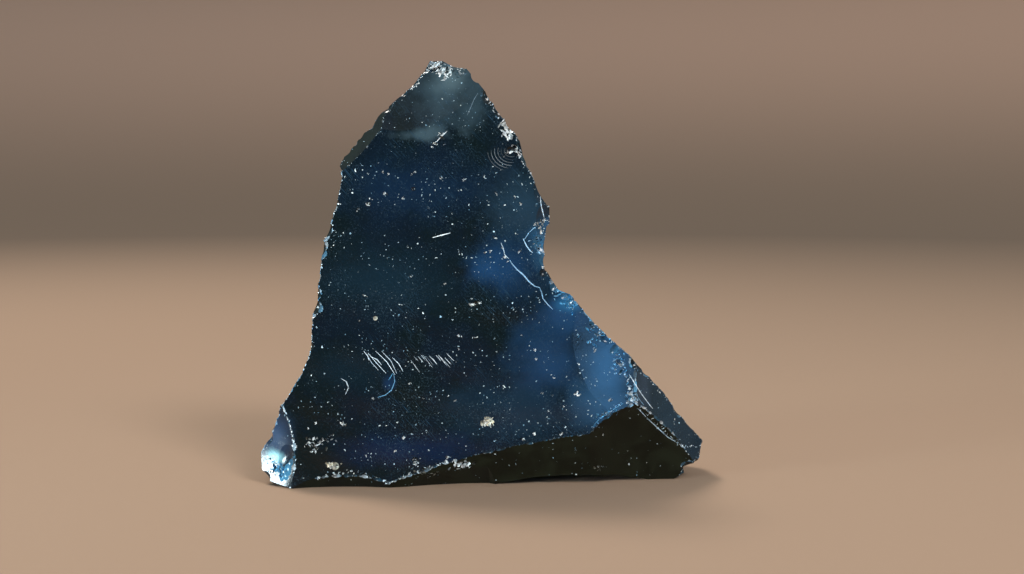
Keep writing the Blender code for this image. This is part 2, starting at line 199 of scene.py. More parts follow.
# %% Scars struck off the front: (three points), hollow, strike point, reach, strength of rings
FRONT_SCARS = {
    "broad_face": ((face(-54, 8), face(46, 22), face(-10, 104)), 1.6, face(9, 85), 125, 0.16),
    "top_flake": ((face(-1, 99.5), face(-24.8, 89), face(-8, 107, 3.2)), 1.3, face(-11, 107, 3),
                  40, 0.3),
    "left_barb_flake": ((face(-20.3, 97.8), face(-33.8, 80.3), face(-30.6, 89.2, 3.3)), 1.2,
                        face(-33, 88, 4), 22, 0.5),
    "shoulder_flake": ((face(17.7, 45.1), face(29.4, 17.5), face(39, 30, 2.4)), 0.9,
                       face(27, 44, 0.5), 48, 0.2),
    "middle_flake": ((face(4, 62), face(17.7, 45.1), face(16, 69, 1.2)), 0.7, face(16.5, 64, 1),
                     48, 0.3),
    "right_flake": ((face(35.3, 34), face(36.9, 23), face(56.5, 11, 13)), 0.8, face(44, 26, 6),
                    42, 0.4),
    "keel_flake": ((face(-9, 8.2), face(27.5, 15.0), face(12, 1, 5.6)), 0.6, face(24, 2, 7),
                   62, 0.4),
    "nose_flake": ((face(27, 15.1), face(37.7, 22.9), face(48, 10.6, 8.4)), 1.3, face(46, 2, 8),
                   40, 0.4),
    "toe_flake": ((face(-50.2, 21.4), face(-48.0, 3.0), face(-56.4, 8, 5.3)), 0.9,
                  face(-56, 6, 6), 24, 0.5),
    "heel_flake_left": ((face(-40.5, 1.6, 1), face(-27.5, 1.6, 1), face(-34, 4.2)), 0.8,
                        face(-34, 0, 3), 14, 0.4),
    "heel_flake_right": ((face(-22, 0.6, 0.5), face(-8, 4, 2.5), face(-15.5, 4.6)), 0.9,
                         face(-15, 0, 3), 17, 0.4),
}
print("front scars:", ", ".join(FRONT_SCARS))

# %% Half-moon scars struck off the edges of the broad face: (end, end, point behind), hollow
SIDE_SCARS = {
    "left_upper_side": ((face(-35.8, 78.8), face(-40.7, 62.8), (-34.5, 15, 69)), 0.5),
    "left_middle_side": ((face(-40.9, 62.6), face(-43.7, 44), (-37.5, 17, 52)), 0.5),
    "left_lower_side": ((face(-43.7, 44), face(-44.5, 33.4), (-39, 17, 36)), 0.5),
    "toe_side": ((face(-44.5, 33.2), face(-51, 21.3), (-42, 17, 24)), 0.4),
    "toe_end": ((face(-51.2, 21.2, 0.4), face(-57.2, 8.2, 5.5), (-49.5, 22, 10)), 0.5),
    "peak_side": ((face(-4, 105.8, 3), face(9.2, 88.8), (-1, 18, 93)), 0.5),
    "right_upper_side": ((face(10.4, 84.6), face(17, 71.6), (9, 17, 76)), 0.3),
    "right_middle_side": ((face(17.1, 66.5), face(16.6, 54.8), (12, 16, 60)), 0.5),
    "slope_top": ((face(21.6, 50.7), face(33.6, 38.3), (23, 16, 39)), 0.3),
    "slope_middle": ((face(33.7, 38.1), face(47.7, 22.7, 7), (36, 22, 24)), 0.4),
    "slope_end": ((face(47.7, 22.6, 7), face(57.8, 9.5, 13), (46, 27, 10)), 0.3),
}
print("side scars:", len(SIDE_SCARS))

# %% Scars on the back and under the stone
BACK_SCARS = {
    # (three points), hollow, strike point, reach, strength of rings
    "upper_left_back": (((-11, 18, 107), (-37, 15, 60), (-8, 37, 48)), 3.0, (-42, 12, 46), 110, 0.8),
    "right_scoop": (((13, 14, 78), (48, 28, 20), (-6, 30, 74)), 19.0, (36, 16, 36), 66, 0.8),
    "lower_left_back": (((-54, 17, 12), (-32, 42, 0), (-8, 45, 33)), 3.0, (-50, 22, 2), 90, 0.8),
    "lower_right_back": (((57, 25, 10), (32, 45, 0), (10, 45, 35)), 2.5, (50, 32, 2), 90, 0.8),
    "base_back": (((-22, 43, 0), (20, 44, 0), (-3, 44, 34)), 2.0, (2, 46, 2), 70, 0.8),
    "tip_end": (((58.5, 14, 7), (53.5, 9, 0), (46, 33, 3)), 0.8, (50, 26, 8), 24, 0.5),
    "toe_back_end": (((-58.6, 8, 6), (-54.6, 5, 0), (-45, 30, 3)), 0.9, (-50, 20, 10), 26, 0.5),
    "peak_back": (((-18, 19, 100), (-2, 18, 100), (-9, 27, 86)), 1.2, (-10, 13, 109), 32, 0.6),
}
# each scar's share of painted cold reflection; where it is low the colour takes the warm tone, partly
# the glass's own brown and partly a painted reflection of the floor
SCAR_COLD_REFLECTION = {"broad_face": 1.0, "top_flake": 0.8, "left_barb_flake": 0.25, "shoulder_flake": 1.0,
         "middle_flake": 1.0, "right_flake": 1.0, "keel_flake": 0.0, "nose_flake": 0.0,
         "toe_flake": 1.0, "heel_flake_left": 0.3, "heel_flake_right": 0.1}
SIDE_COLD_REFLECTION = 0.3
BACK_COLD_REFLECTION = 0.6
UNDERSIDE_HOLLOWS = [
    # (x, y), radius, depth
    ((-4.0, 27.0), 18.0, 1.5), ((23.0, 7.0), 20.0, 2.2),
]
HOLLOW_REACH = 1.6
print("back scars:", ", ".join(BACK_SCARS))

# %% [markdown]
# ## The cutters
#
# Each cutter is a half section turned into a closed body, which keeps the rings true, as a
# sculpted grid would not.  The corners are worked out as arrays, because a spin of this many
# is slow.  The vertices are then moved a little along the ball's own radius: the broad rings
# that the plan gives, finer waves that fade in and out, and a slow unevenness that keeps the
# glass from looking machined.

# %% Bowl cutters
RING_LENGTH = 8.4
RING_HEIGHT = 0.13
FLARE_RUN = 12.0
FLARE_SLOPE = 1.1
BOWL_WALL = 60.0
WIDEST_BOWL = math.radians(80.0)
WAVE_SEED = 5


def bowl_ball(points, hollow):
    """Centre and radius of the ball whose surface makes the bowl."""
    a, b, c = (Vector(point) for point in points)
    normal = (b - a).cross(c - a).normalized()
    if normal.dot(a - HEART) < 0.0:
        normal.negate()
    ab = b - a
    ac = c - a
    cross = ab.cross(ac)
    middle = a + (ac.length_squared * cross.cross(ab) + ab.length_squared * ac.cross(cross)) / (
        2.0 * cross.length_squared)
    across = (a - middle).length
    radius = (across ** 2 + hollow ** 2) / (2.0 * hollow)
    return middle + normal * (radius - hollow), radius


def bowl_section(radius, reach, step):
    """Half section: the bowl, its flare, a wall and a lid out of the stone."""
    widest = min(reach / radius, WIDEST_BOWL)
    count = max(8, math.ceil(widest * radius / step))
    section = []
    for i in range(count + 1):
        angle = widest * i / count
        section.append((radius * math.sin(angle), radius * (1.0 - math.cos(angle))))
    rim = section[-1][0] + FLARE_RUN
    height = section[-1][1] + FLARE_RUN * FLARE_SLOPE
    return section + [(rim, height), (rim, height + BOWL_WALL), (0.0, height + BOWL_WALL)]


def turned(section, steps):
    """A closed mesh turned about Z from a half section in millimetres that ends on the axis."""
    radii, heights = np.array(section[1:-1]).T
    turns = np.linspace(0.0, 2.0 * math.pi, steps, endpoint=False)
    rings = np.stack([np.outer(radii, np.cos(turns)), np.outer(radii, np.sin(turns)),
                      np.repeat(heights[:, None], steps, 1)], axis=2).reshape(-1, 3)
    spots = np.concatenate([rings, [(0.0, 0.0, section[0][1]), (0.0, 0.0, section[-1][1])]])
    start, end = len(rings), len(rings) + 1
    here = np.arange(steps)
    beside = (here + 1) % steps
    sides = [np.stack([np.full(steps, start), beside, here], 1)]
    for ring in range(len(radii) - 1):
        low, high = ring * steps, (ring + 1) * steps
        sides.append(np.stack([low + here, low + beside, high + beside], 1))
        sides.append(np.stack([low + here, high + beside, high + here], 1))
    last = (len(radii) - 1) * steps
    sides.append(np.stack([last + here, last + beside, np.full(steps, end)], 1))
    mesh = bpy.data.meshes.new("cutter")
    mesh.from_pydata(spots * MM, [], np.concatenate(sides))
    return mesh


print("ball of the broad face:", round(bowl_ball(*FRONT_SCARS["broad_face"][:2])[1]), "mm radius")

# %% Rings and waves on a bowl
SLOW_WAVES = 5
SLOW_HEIGHT = 0.016
SLOW_LENGTHS = (11.0, 30.0)
FINE_LENGTH = 2.9
FINE_HEIGHT = 0.007
FINE_WOBBLE = 0.5
PATCH_LENGTH = 9.0
PHASES = (0.0, 6.0)
BALL_FIT = 0.01


def spots_of(mesh):
    """The places of a mesh's vertices as an array, in metres."""
    flat = np.empty(3 * len(mesh.vertices))
    mesh.vertices.foreach_get("co", flat)
    return flat.reshape(-1, 3)


def move_spots(mesh, spots):
    """Put the vertices of a mesh where the array says."""
    mesh.vertices.foreach_set("co", spots.ravel())
    mesh.update()


def ring_the_bowl(mesh, radius, strength, dice):
    """Move the bowl's vertices in and out along the ball's radius."""
    spots = spots_of(mesh) / MM
    away = spots - np.array((0.0, 0.0, radius))
    far = np.linalg.norm(away, axis=1)
    on_bowl = np.abs(far - radius) < BALL_FIT
    run = np.arccos(np.clip(-away[:, 2] / far, -1.0, 1.0)) * radius
    turn = np.arctan2(away[:, 1], away[:, 0])

    fade_in = np.clip(run / RING_LENGTH, 0.0, 1.0)
    rise = strength * RING_HEIGHT * np.sin(2.0 * math.pi * run / RING_LENGTH)
    patch = 0.5 + 0.5 * np.sin(2.0 * turn + dice.uniform(*PHASES)) * np.sin(run / PATCH_LENGTH)
    wobble = run + FINE_WOBBLE * np.sin(3.0 * turn + dice.uniform(*PHASES))
    rise += strength * FINE_HEIGHT * patch * np.sin(2.0 * math.pi * wobble / FINE_LENGTH)
    for _ in range(SLOW_WAVES):
        heading = dice.uniform(0.0, math.pi)
        length = dice.uniform(*SLOW_LENGTHS)
        along = spots[:, 0] * math.cos(heading) + spots[:, 1] * math.sin(heading)
        rise += SLOW_HEIGHT * np.sin(2.0 * math.pi * along / length + dice.uniform(*PHASES))
    spots += away / far[:, None] * (rise * fade_in * on_bowl)[:, None]
    move_spots(mesh, spots * MM)


print("a bowl has", SLOW_WAVES, "slow waves, and fine ones", FINE_LENGTH, "mm apart")

# %% [markdown]
# Every cut gets a number and marks for its finish, written on its faces.  `scar` is the number,
# so that the shading can tell two cuts apart.  The second mark is painted light: how far the colour
# takes the painted cold reflections of the room rather than a warm tone that is partly the glass's
# own brown and partly a painted reflection of the floor; it also thins out the specks, streaks and
# dust.  `crush` and `cream` say how white and how crusted a broken spot is, and the last mark
# paints a blue glint onto it.

# %% Marks, and one scar as a cutter
PLAIN = {"scar": 0, "sheen": 0.0, "crush": 0.0, "cream": 0.0, "glint": 0.0}
FEWEST_TURNS = 40
MOST_TURNS = 480
scar_numbers = itertools.count(1)


def write_mark(mesh, name, values):
    """Give each face of a mesh its own value of one mark."""
    kind = "INT" if name == "scar" else "FLOAT"
    layer = mesh.attributes.get(name) or mesh.attributes.new(name, kind, "FACE")
    layer.data.foreach_set("value", values)


def stamp(mesh, **marks):
    """Write the same marks on every face."""
    for name, value in {**PLAIN, **marks}.items():
        write_mark(mesh, name, [value] * len(mesh.polygons))


def scar_cutter(points, hollow, strike, reach, strength, sheen, step, facet):
    """One flake scar: a bowl through three points, ringed about its strike point."""
    number = next(scar_numbers)
    centre, radius = bowl_ball(points, hollow)
    outward = (centre - Vector(strike)).normalized()
    steps = min(MOST_TURNS, max(FEWEST_TURNS, round(2.0 * math.pi * reach / facet)))
    mesh = turned(bowl_section(radius, reach, step), steps)
    ring_the_bowl(mesh, radius, strength, random.Random(WAVE_SEED + number))
    stamp(mesh, scar=number, sheen=sheen)
    mesh.transform(outward.to_track_quat("Z", "Y").to_matrix().to_4x4())
    mesh.transform(Matrix.Translation((centre - outward * radius) * MM))
    return mesh


print("marks on each face:", ", ".join(PLAIN))

# %% [markdown]
# The cuts are Booleans.  The exact solver can lose the stone where two bowls almost coincide,
# so the manifold solver is used; it needs closed bodies and is also much faster.  Face
# attributes travel through it, which is how the finished stone still knows its scars.


# %% Cutting
def carve(block, mesh):
    """Cut one closed mesh out of the block, and drop it."""
    cutter = placed("cutter", mesh)
    cut = block.modifiers.new("cut", "BOOLEAN")
    cut.operation = "DIFFERENCE"
    cut.solver = "MANIFOLD"
    cut.object = cutter
    bpy.context.view_layer.update()
    depsgraph = bpy.context.evaluated_depsgraph_get()
    whole = bpy.data.meshes.new_from_object(block.evaluated_get(depsgraph))
    block.modifiers.clear()
    old = block.data
    block.data = whole
    bpy.data.meshes.remove(old)
    bpy.data.objects.remove(cutter, do_unlink=True)
    bpy.data.meshes.remove(mesh)


# the step along a bowl and the step round its rim, in millimetres
FRONT_GRAIN = (0.9, 2.0)
SIDE_GRAIN = (1.0, 1.6)
BACK_GRAIN = (1.6, 3.1)
PLAIN_RINGS = 0.3

stamp(stone.data, sheen=SIDE_COLD_REFLECTION)
for (x, y), across, depth in UNDERSIDE_HOLLOWS:
    points = ((x + across, y, 0.0), (x, y + across, 0.0), (x - across, y, 0.0))
    carve(stone, scar_cutter(points, depth, (x, y, 0.0), HOLLOW_REACH * across, PLAIN_RINGS,
                             BACK_COLD_REFLECTION, *BACK_GRAIN))
for scar in BACK_SCARS.values():
    carve(stone, scar_cutter(*scar, BACK_COLD_REFLECTION, *BACK_GRAIN))
for points, hollow in SIDE_SCARS.values():
    start, end = Vector(points[0]), Vector(points[1])
    carve(stone, scar_cutter(points, hollow, (start + end) / 2, (start - end).length / 2,
                             PLAIN_RINGS, SIDE_COLD_REFLECTION, *SIDE_GRAIN))
for name, scar in FRONT_SCARS.items():
    carve(stone, scar_cutter(*scar, SCAR_COLD_REFLECTION[name], *FRONT_GRAIN))
print("after the scars:", len(stone.data.polygons), "triangles")

# %% [markdown]
# ## Chips along the ridges
#
# Glass edges are never whole.  Knocks take small shells off every ridge, and where a blow
# landed the edge is crushed to white crumbs.  Each chip here is a flattened ball sunk into a
# ridge.  Hundreds of Booleans would be slow, so chips that don't touch each other are gathered
# into one mesh and cut together.


# %% Ridges
RIDGE_ANGLE = math.radians(24.0)
RIDGE_STEP = 0.8


def ridges_of(mesh):
    """Points along the convex ridges: where, the directions of the two sides, and along it."""
    shape = bmesh.new()
    shape.from_mesh(mesh)
    found = []
    for edge in shape.edges:
        if not edge.is_manifold or not edge.is_convex or edge.calc_face_angle() < RIDGE_ANGLE:
            continue
        start, end = (vert.co.copy() for vert in edge.verts)
        count = max(1, round((end - start).length / (RIDGE_STEP * MM)))
        sides = [side.normal.copy() for side in edge.link_faces]
        along = (end - start).normalized()
        for i in range(count):
            found.append((start.lerp(end, (i + 0.5) / count), sides, along))
    shape.free()
    tree = KDTree(len(found))
    for i, ridge in enumerate(found):
        tree.insert(ridge[0], i)
    tree.balance()
    return found, tree


def lean_out(ridge, lean):
    """Outward from a ridge, leaning to one side or the other, and the way along the ridge."""
    (one_side, other_side), along = ridge[1:]
    return (one_side * lean + other_side * (1.0 - lean)).normalized(), along


ridges, ridge_tree = ridges_of(stone.data)
print("places along the ridges:", len(ridges))

# %% Chips, and sorting them into rounds
# a chip's share of painted cold reflection
CHIP_COLD_REFLECTION = 0.5
# a rough wedge, and three balls by how often their faces are split
WEDGE, SHELL, BOWL, WIDE_BOWL = 0, 2, 4, 5
WEDGE_SIDES = 5
WEDGE_TOP = 0.35


def chip(spot, outward, along, size, bite, detail, **marks):
    """A flattened ball sunk into the stone: its place, its three half sizes and its marks."""
    across = outward.cross(along).normalized()
    along = across.cross(outward).normalized()
    turn = Matrix((along, across, outward)).transposed().to_4x4()
    middle = spot + outward * (size[2] - bite)
    matrix = Matrix.Translation(middle) @ turn @ Matrix.Diagonal((*size, 1.0))
    marks = {**PLAIN, "scar": next(scar_numbers), "sheen": CHIP_COLD_REFLECTION, **marks}
    return {"at": middle, "reach": max(size), "matrix": matrix, "detail": detail, "marks": marks}


def apart(chips):
    """Sort chips into rounds in which no two touch."""
    rounds = []
    for one in chips:
        for group in rounds:
            if all((one["at"] - other["at"]).length > one["reach"] + other["reach"] for other in group):
                group.append(one)
                break
        else:
            rounds.append([one])
    return rounds


def solid_template(detail):
    """Vertices and triangles of a unit ball, or of a rough wedge."""
    shape = bmesh.new()
    if detail != WEDGE:
        bmesh.ops.create_icosphere(shape, subdivisions=detail, radius=1.0)
    else:
        bmesh.ops.create_cone(shape, cap_ends=True, cap_tris=True, segments=WEDGE_SIDES,
                              radius1=1.0, radius2=WEDGE_TOP, depth=2.0)
        bmesh.ops.triangulate(shape, faces=shape.faces)
    spots = np.array([vert.co for vert in shape.verts])
    sides = np.array([[vert.index for vert in side.verts] for side in shape.faces])
    shape.free()
    return spots, sides


TEMPLATES = {detail: solid_template(detail) for detail in (WEDGE, SHELL, BOWL, WIDE_BOWL)}
print("triangles of the templates:", [len(sides) for _, sides in TEMPLATES.values()])

# %% Cutting chips
def chips_mesh(chips):
    """The closed bodies of one round as a single mesh, with their marks."""
    spots, sides, counts, base = [], [], [], 0
    for one in chips:
        unit, triangles = TEMPLATES[one["detail"]]
        matrix = np.array(one["matrix"])
        spots.append(unit @ matrix[:3, :3].T + matrix[:3, 3])
        sides.append(triangles + base)
        counts.append(len(triangles))
        base += len(unit)
    mesh = bpy.data.meshes.new("chips")
    mesh.from_pydata(np.concatenate(spots), [], np.concatenate(sides))
    for name in PLAIN:
        write_mark(mesh, name, np.repeat([one["marks"][name] for one in chips], counts))
    return mesh


def cut_chips(block, chips):
    """Cut all the chips, round by round, and print how the block has grown."""
    rounds = apart(chips)
    for group in rounds:
        carve(block, chips_mesh(group))
    print(len(chips), "cut in", len(rounds), "rounds:", len(block.data.polygons), "triangles")


print("chip helpers ready")

# %% The large nicks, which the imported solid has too
CHIP_SEED = 11
CHIP_SPACING = 2.2
# how many, smallest and largest half width
RIM_CHIPS = (42, 1.5, 3.2)
RIDGE_CHIPS = (30, 2.0, 5.5)
PEAK_CHIPS = (7, 1.2, 2.6)
# x from and to, y from and to, z
PEAK_ZONE = ((-16.0, -4.0), (8.0, 14.0), 107.0)
CHIP_DEPTH = (0.16, 0.34)
CHIP_LEAN = (0.15, 0.85)
CHIP_FLATNESS = (0.75, 1.0)
CHIP_CLEAR = 1.0
TRIES_EACH = 12
BACK_RIDGES_FROM = 14.0
WIDTH = 114.0
HEIGHT = 108.0
LARGE_NICK = 3.0
NICK_CRUSH = 0.05


def rim_probe(dice):
    """A place near the outline of the broad face."""
    i = dice.randrange(len(OUTLINE))
    start = Vector(face(*OUTLINE[i - 1]))
    end = Vector(face(*OUTLINE[i]))
    return start.lerp(end, dice.random()) * MM


def back_probe(dice):
    """A place anywhere in the back of the stone."""
    x = dice.uniform(-0.5, 0.5) * WIDTH
    y = dice.uniform(BACK_RIDGES_FROM, BACK_DEPTH)
    z = dice.uniform(0.0, 1.0) * HEIGHT
    return Vector((x, y, z)) * MM


def peak_probe(dice):
    """A place on the peak."""
    across, deep, height = PEAK_ZONE
    return Vector((dice.uniform(*across), dice.uniform(*deep), height)) * MM


dice = random.Random(CHIP_SEED)
nicks = []
taken = []
for probe, (count, smallest, largest) in [(rim_probe, RIM_CHIPS), (back_probe, RIDGE_CHIPS),
                                          (peak_probe, PEAK_CHIPS)]:
    tries = 0
    made = 0
    while made < count and tries < TRIES_EACH * count:
        tries += 1
        spot, index, _ = ridge_tree.find(probe(dice))
        radius = dice.uniform(smallest, largest) * MM
        lean = dice.uniform(*CHIP_LEAN)
        depth = dice.uniform(*CHIP_DEPTH) * radius
        crowded = any((spot - other).length < CHIP_SPACING * MM for other in taken)
        if spot.z < CHIP_CLEAR * MM or crowded:
            continue
        taken.append(spot)
        outward, along = lean_out(ridges[index], lean)
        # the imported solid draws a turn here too, so this keeps its nicks and these the same
        dice.uniform(0.0, math.pi)
        squash = dice.uniform(*CHIP_FLATNESS)
        detail = WIDE_BOWL if radius > LARGE_NICK * MM else BOWL
        nicks.append(chip(spot, outward, along, (radius, radius * squash, radius), depth, detail,
                          crush=NICK_CRUSH))
        made += 1
cut_chips(stone, nicks)

# %% [markdown]
# Now the small ones.  Along the rim of the broad face they touch each other and make the edge
# a fine saw.  Inside ridges get fewer.  A chip that faces the light shows pale blue, so some carry a
# mark that paints that blue glint into the colour, and the crushed ones carry `crush`.


# %% Places along a run of edge
CHIP_JITTER = 0.8


def along_run(run, spacing, jitter, dice):
    """Places along a run of plan points, about `spacing` apart."""
    places = []
    for start, end in zip(run, run[1:]):
        start, end = Vector(face(*start)), Vector(face(*end))
        count = max(1, round((end - start).length / spacing))
        for i in range(count):
            nudge = Vector(dice.uniform(-jitter, jitter) for _ in range(3))
            places.append((start.lerp(end, (i + dice.random()) / count) + nudge) * MM)
    return places


print("places along the left edge:", len(along_run(LEFT_EDGE, 1.0, 0.0, random.Random(0))))

# %% The runs of edge that get small chips
KEEL_RIDGE = [(-8.8, 8.2, 0), (-0.7, 10.3, 0), (9.4, 12.3, 0), (19.5, 14.3, 0), (27.1, 15.1, 0),
              (30.1, 18.4, 0), (37.7, 22.9, 0)]
CORNER_RIDGE = [(35.2, 34, 0), (36.2, 31, 0), (36.9, 26.9, 0), (36.7, 23.7, 0)]
NOSE_RIDGE = [(39.3, 20.1, 1), (41.5, 17.6, 3), (44.6, 14.6, 5), (47.6, 11.6, 7), (52.4, 8.6, 10),
              (56.1, 8.5, 12)]
TOE_RIDGE = [(-50.2, 21.1, 0), (-48.4, 14.6, 0), (-48.2, 9, 0), (-47.7, 3.7, 0)]
BARB_RIDGE = [(-20.3, 97.8, 0), (-27.1, 86.8, 0), (-30.4, 80.7, 0), (-33.6, 80.2, 0)]
HEEL_RIDGE = [(-42.0, 2.2, 0), (-38.0, 3.6, 0), (-34.0, 4.2, 0), (-29.0, 3.4, 0), (-24.0, 1.0, 0),
              (-19.0, 3.2, 0), (-15.5, 4.6, 0), (-11.0, 6.0, 0), (-8.5, 8.0, 0)]
LEFT_RIM = TOE[-4:] + LEFT_EDGE + LEFT_BARB[:1]
BARB_RIM = LEFT_BARB + PEAK[:2]
SMALL_CHIPS = {
    # run, spacing, smallest and largest half size, crush, glint
    "left_rim": (LEFT_RIM, 0.75, 0.25, 0.95, 0.55, 0.35),
    "barb_rim": (BARB_RIM, 0.9, 0.25, 0.8, 0.2, 0.1),
    "peak_rim": (PEAK, 0.6, 0.3, 1.0, 0.5, 0.1),
    "right_rim": (RIGHT_EDGE, 0.7, 0.3, 1.0, 0.5, 0.15),
    "slope_rim": (SLOPE[:5], 0.6, 0.3, 1.1, 0.4, 0.7),
    "tip_rim": (SLOPE[4:] + TIP, 0.9, 0.3, 0.9, 0.3, 0.2),
    "keel_ridge": (KEEL_RIDGE, 1.1, 0.2, 0.7, 0.25, 0.1),
    "corner_ridge": (CORNER_RIDGE, 0.6, 0.3, 1.0, 0.55, 0.6),
    "nose_ridge": (NOSE_RIDGE, 0.8, 0.25, 0.7, 0.6, 0.2),
    "toe_ridge": (TOE_RIDGE, 0.7, 0.3, 0.9, 0.7, 0.2),
    "barb_ridge": (BARB_RIDGE, 1.6, 0.2, 0.6, 0.3, 0.05),
    "heel_ridge": (HEEL_RIDGE, 0.8, 0.3, 0.9, 0.45, 0.1),
}
BACK_RIDGE_CHIPS = 240
# smallest and largest half size, crush, glint
BACK_RIDGE_CHIP = (0.3, 1.2, 0.3, 0.1)
print("runs:", ", ".join(SMALL_CHIPS))

# %% Cut the small chips
SMALL_SEED = 23
SMALL_LEAN = (0.1, 0.9)
SMALL_LENGTH = (1.0, 1.7)
SMALL_WIDTH = (0.8, 1.1)
SMALL_BITE = (0.25, 0.6)
dice = random.Random(SMALL_SEED)
ridges, ridge_tree = ridges_of(stone.data)


def small_chip(place, smallest, largest, crush, glint):
    """A shell sunk into the ridge nearest a place, longer along the ridge than across it."""
    spot, index, _ = ridge_tree.find(place)
    outward, along = lean_out(ridges[index], dice.uniform(*SMALL_LEAN))
    radius = (smallest + (largest - smallest) * dice.random() ** 2) * MM
    size = (radius * dice.uniform(*SMALL_LENGTH), radius * dice.uniform(*SMALL_WIDTH), radius)
    return chip(spot, outward, along, size, radius * dice.uniform(*SMALL_BITE), SHELL,
                crush=crush * dice.random(), glint=glint * dice.random())


chips = []
for run, spacing, *finish in SMALL_CHIPS.values():
    chips += [small_chip(place, *finish) for place in along_run(run, spacing, CHIP_JITTER, dice)]
chips += [small_chip(back_probe(dice), *BACK_RIDGE_CHIP) for _ in range(BACK_RIDGE_CHIPS)]
cut_chips(stone, chips)

# %% [markdown]
# ## Crushed spots, pits and grooves
#
# Where the hammer landed, the glass is crushed to white splinters over a few millimetres.
# Single grains fell out elsewhere and left pits, some with a cream crust.  Fine grooves are
# hackles, scratches and one zigzag crack.  All of these sit on the surface, so a ray is sent
# from the front to find the surface under each plan point.  On a rim such a ray may miss, and
# there the nearest place on the stone is asked for instead.

# %% Where the surface is
RAY_START = -100.0


class Surface:
    """The stone's surface as it is now."""

    def __init__(self, block):
        shape = bmesh.new()
        shape.from_mesh(block.data)
        self.tree = BVHTree.FromBMesh(shape)
        shape.free()

    def under(self, x, z):
        """Where a ray from the front meets the stone, and which way the surface faces."""
        spot, normal, _, _ = self.tree.ray_cast(Vector((x, RAY_START, z)) * MM, Vector((0, 1, 0)))
        return spot, normal

    def nearest(self, place):
        """The nearest place on the stone to any point, and which way it faces."""
        spot, normal, _, _ = self.tree.find_nearest(place)
        return spot, normal


print("the surface lies", round(Surface(stone).under(0.0, 50.0)[0].y / MM, 2), "mm deep at x 0, z 50")

# %% [markdown]
# The toe, the right rim, the neck and the slope have lost flakes that are smaller than the
# scars and larger than the chips.  Each is a slice of a wide ball, so its hollow is shallow and
# its rim is sharp.  They overlap like roof tiles, so they are cut one after another.

# %% Small flakes
SMALL_FLAKES = [
    # (x, z), half width, depth, lean to the right, lean upwards, blue glint
    ((-51.8, 7.8), 2.7, 0.45, 0.1, 0.0, 0.0), ((-50.4, 4.9), 1.8, 0.5, 0.0, 0.0, 0.3),
    ((-52.0, 3.9), 1.5, 0.45, 0.0, 0.1, 0.3), ((-53.4, 4.9), 1.2, 0.35, 0.1, 0.0, 0.3),
    ((-51.0, 3.0), 1.1, 0.35, 0.0, 0.1, 0.4), ((-49.6, 6.4), 1.2, 0.3, 0.0, 0.0, 0.2),
    ((-52.4, 2.9), 0.9, 0.3, 0.1, 0.0, 0.4),
    ((11.6, 81.0), 2.4, 0.3, 0.6, 0.2, 0.0), ((14.2, 76.4), 2.6, 0.3, 0.6, 0.2, 0.0),
    ((15.8, 71.4), 2.4, 0.22, 0.4, 0.0, 0.0), ((15.0, 65.6), 3.0, 0.4, 0.2, 0.1, 0.0),
    ((14.0, 61.4), 2.2, 0.45, 0.3, 0.1, 0.1), ((14.9, 57.6), 1.7, 0.4, 0.5, 0.0, 0.1),
    ((17.9, 50.4), 1.4, 0.35, 0.3, 0.4, 0.1), ((20.6, 48.2), 1.1, 0.3, 0.2, 0.4, 0.1),
    ((23.0, 46.8), 1.1, 0.3, 0.2, 0.4, 0.1), ((25.8, 44.4), 1.3, 0.3, 0.3, 0.4, 0.05),
    ((28.2, 41.5), 1.1, 0.3, 0.3, 0.3, 0.1), ((30.9, 37.4), 1.2, 0.3, 0.3, 0.3, 0.0),
    ((33.0, 34.4), 1.1, 0.3, 0.3, 0.3, 0.1), ((34.6, 31.6), 1.0, 0.3, 0.3, 0.3, 0.0),
]
FLAKE_SEED = 29
FLAKE_LENGTH = (1.0, 1.4)
FLAKE_WIDTH = (0.6, 0.9)
dice = random.Random(FLAKE_SEED)
surface = Surface(stone)
flakes = []
for (x, z), half, depth, right, up, glint in SMALL_FLAKES:
    spot, normal = surface.nearest(Vector(face(x, z)) * MM)
    outward = (normal + Vector((right, 0.0, up))).normalized()
    ball = (half ** 2 + depth ** 2) / (2.0 * depth) * MM
    heading = Vector(dice.uniform(-1.0, 1.0) for _ in range(3))
    size = (ball * dice.uniform(*FLAKE_LENGTH), ball * dice.uniform(*FLAKE_WIDTH), ball)
    flakes.append(chip(spot, outward, heading, size, depth * MM, WIDE_BOWL, sheen=1.0, glint=glint))
for flake in flakes:
    carve(stone, chips_mesh([flake]))
print(len(flakes), "small flakes:", len(stone.data.polygons), "triangles")

# %% [markdown]
# A pit is where a grain fell out whole.  It is a ball sunk straight into the face, and the cream
# mark gives some of them their crust.

# %% Pits
PITS = [
    # (x, z), radius, depth, crush, cream
    ((1.3, 16.8), 1.7, 0.5, 0.0, 0.3), ((-1.6, 46.6), 0.9, 0.4, 0.0, 0.0),
    ((-37.4, 5.6), 1.3, 0.5, 0.1, 0.3), ((-17.1, 6.9), 1.2, 0.45, 0.0, 0.0),
    ((7.0, 85.3), 1.5, 0.3, 0.1, 0.0), ((15.5, 54.4), 1.3, 0.7, 0.0, 0.0),
    ((-17.5, 75.5), 0.7, 0.3, 0.0, 0.0), ((-27.2, 42.8), 0.7, 0.3, 0.1, 0.4),
]
surface = Surface(stone)
pits = []
for (x, z), radius, depth, crush, cream in PITS:
    spot, normal = surface.under(x, z)
    pits.append(chip(spot, normal, Vector((1.0, 0.0, 0.0)), (radius * MM,) * 3, depth * MM, BOWL,
                     crush=crush, cream=cream))
cut_chips(stone, pits)

# %% [markdown]
# Crushed glass is a heap of tiny faces that point every way, and that is why it looks white.
# It could be a noise in the material, but real faces glint one by one.  So every crushed spot
# is a cloud of small wedges, sunk into the stone at random slants.  The plan lists the large
# spots first, then single dents in the face, then the runs of rim that are nicked all along.

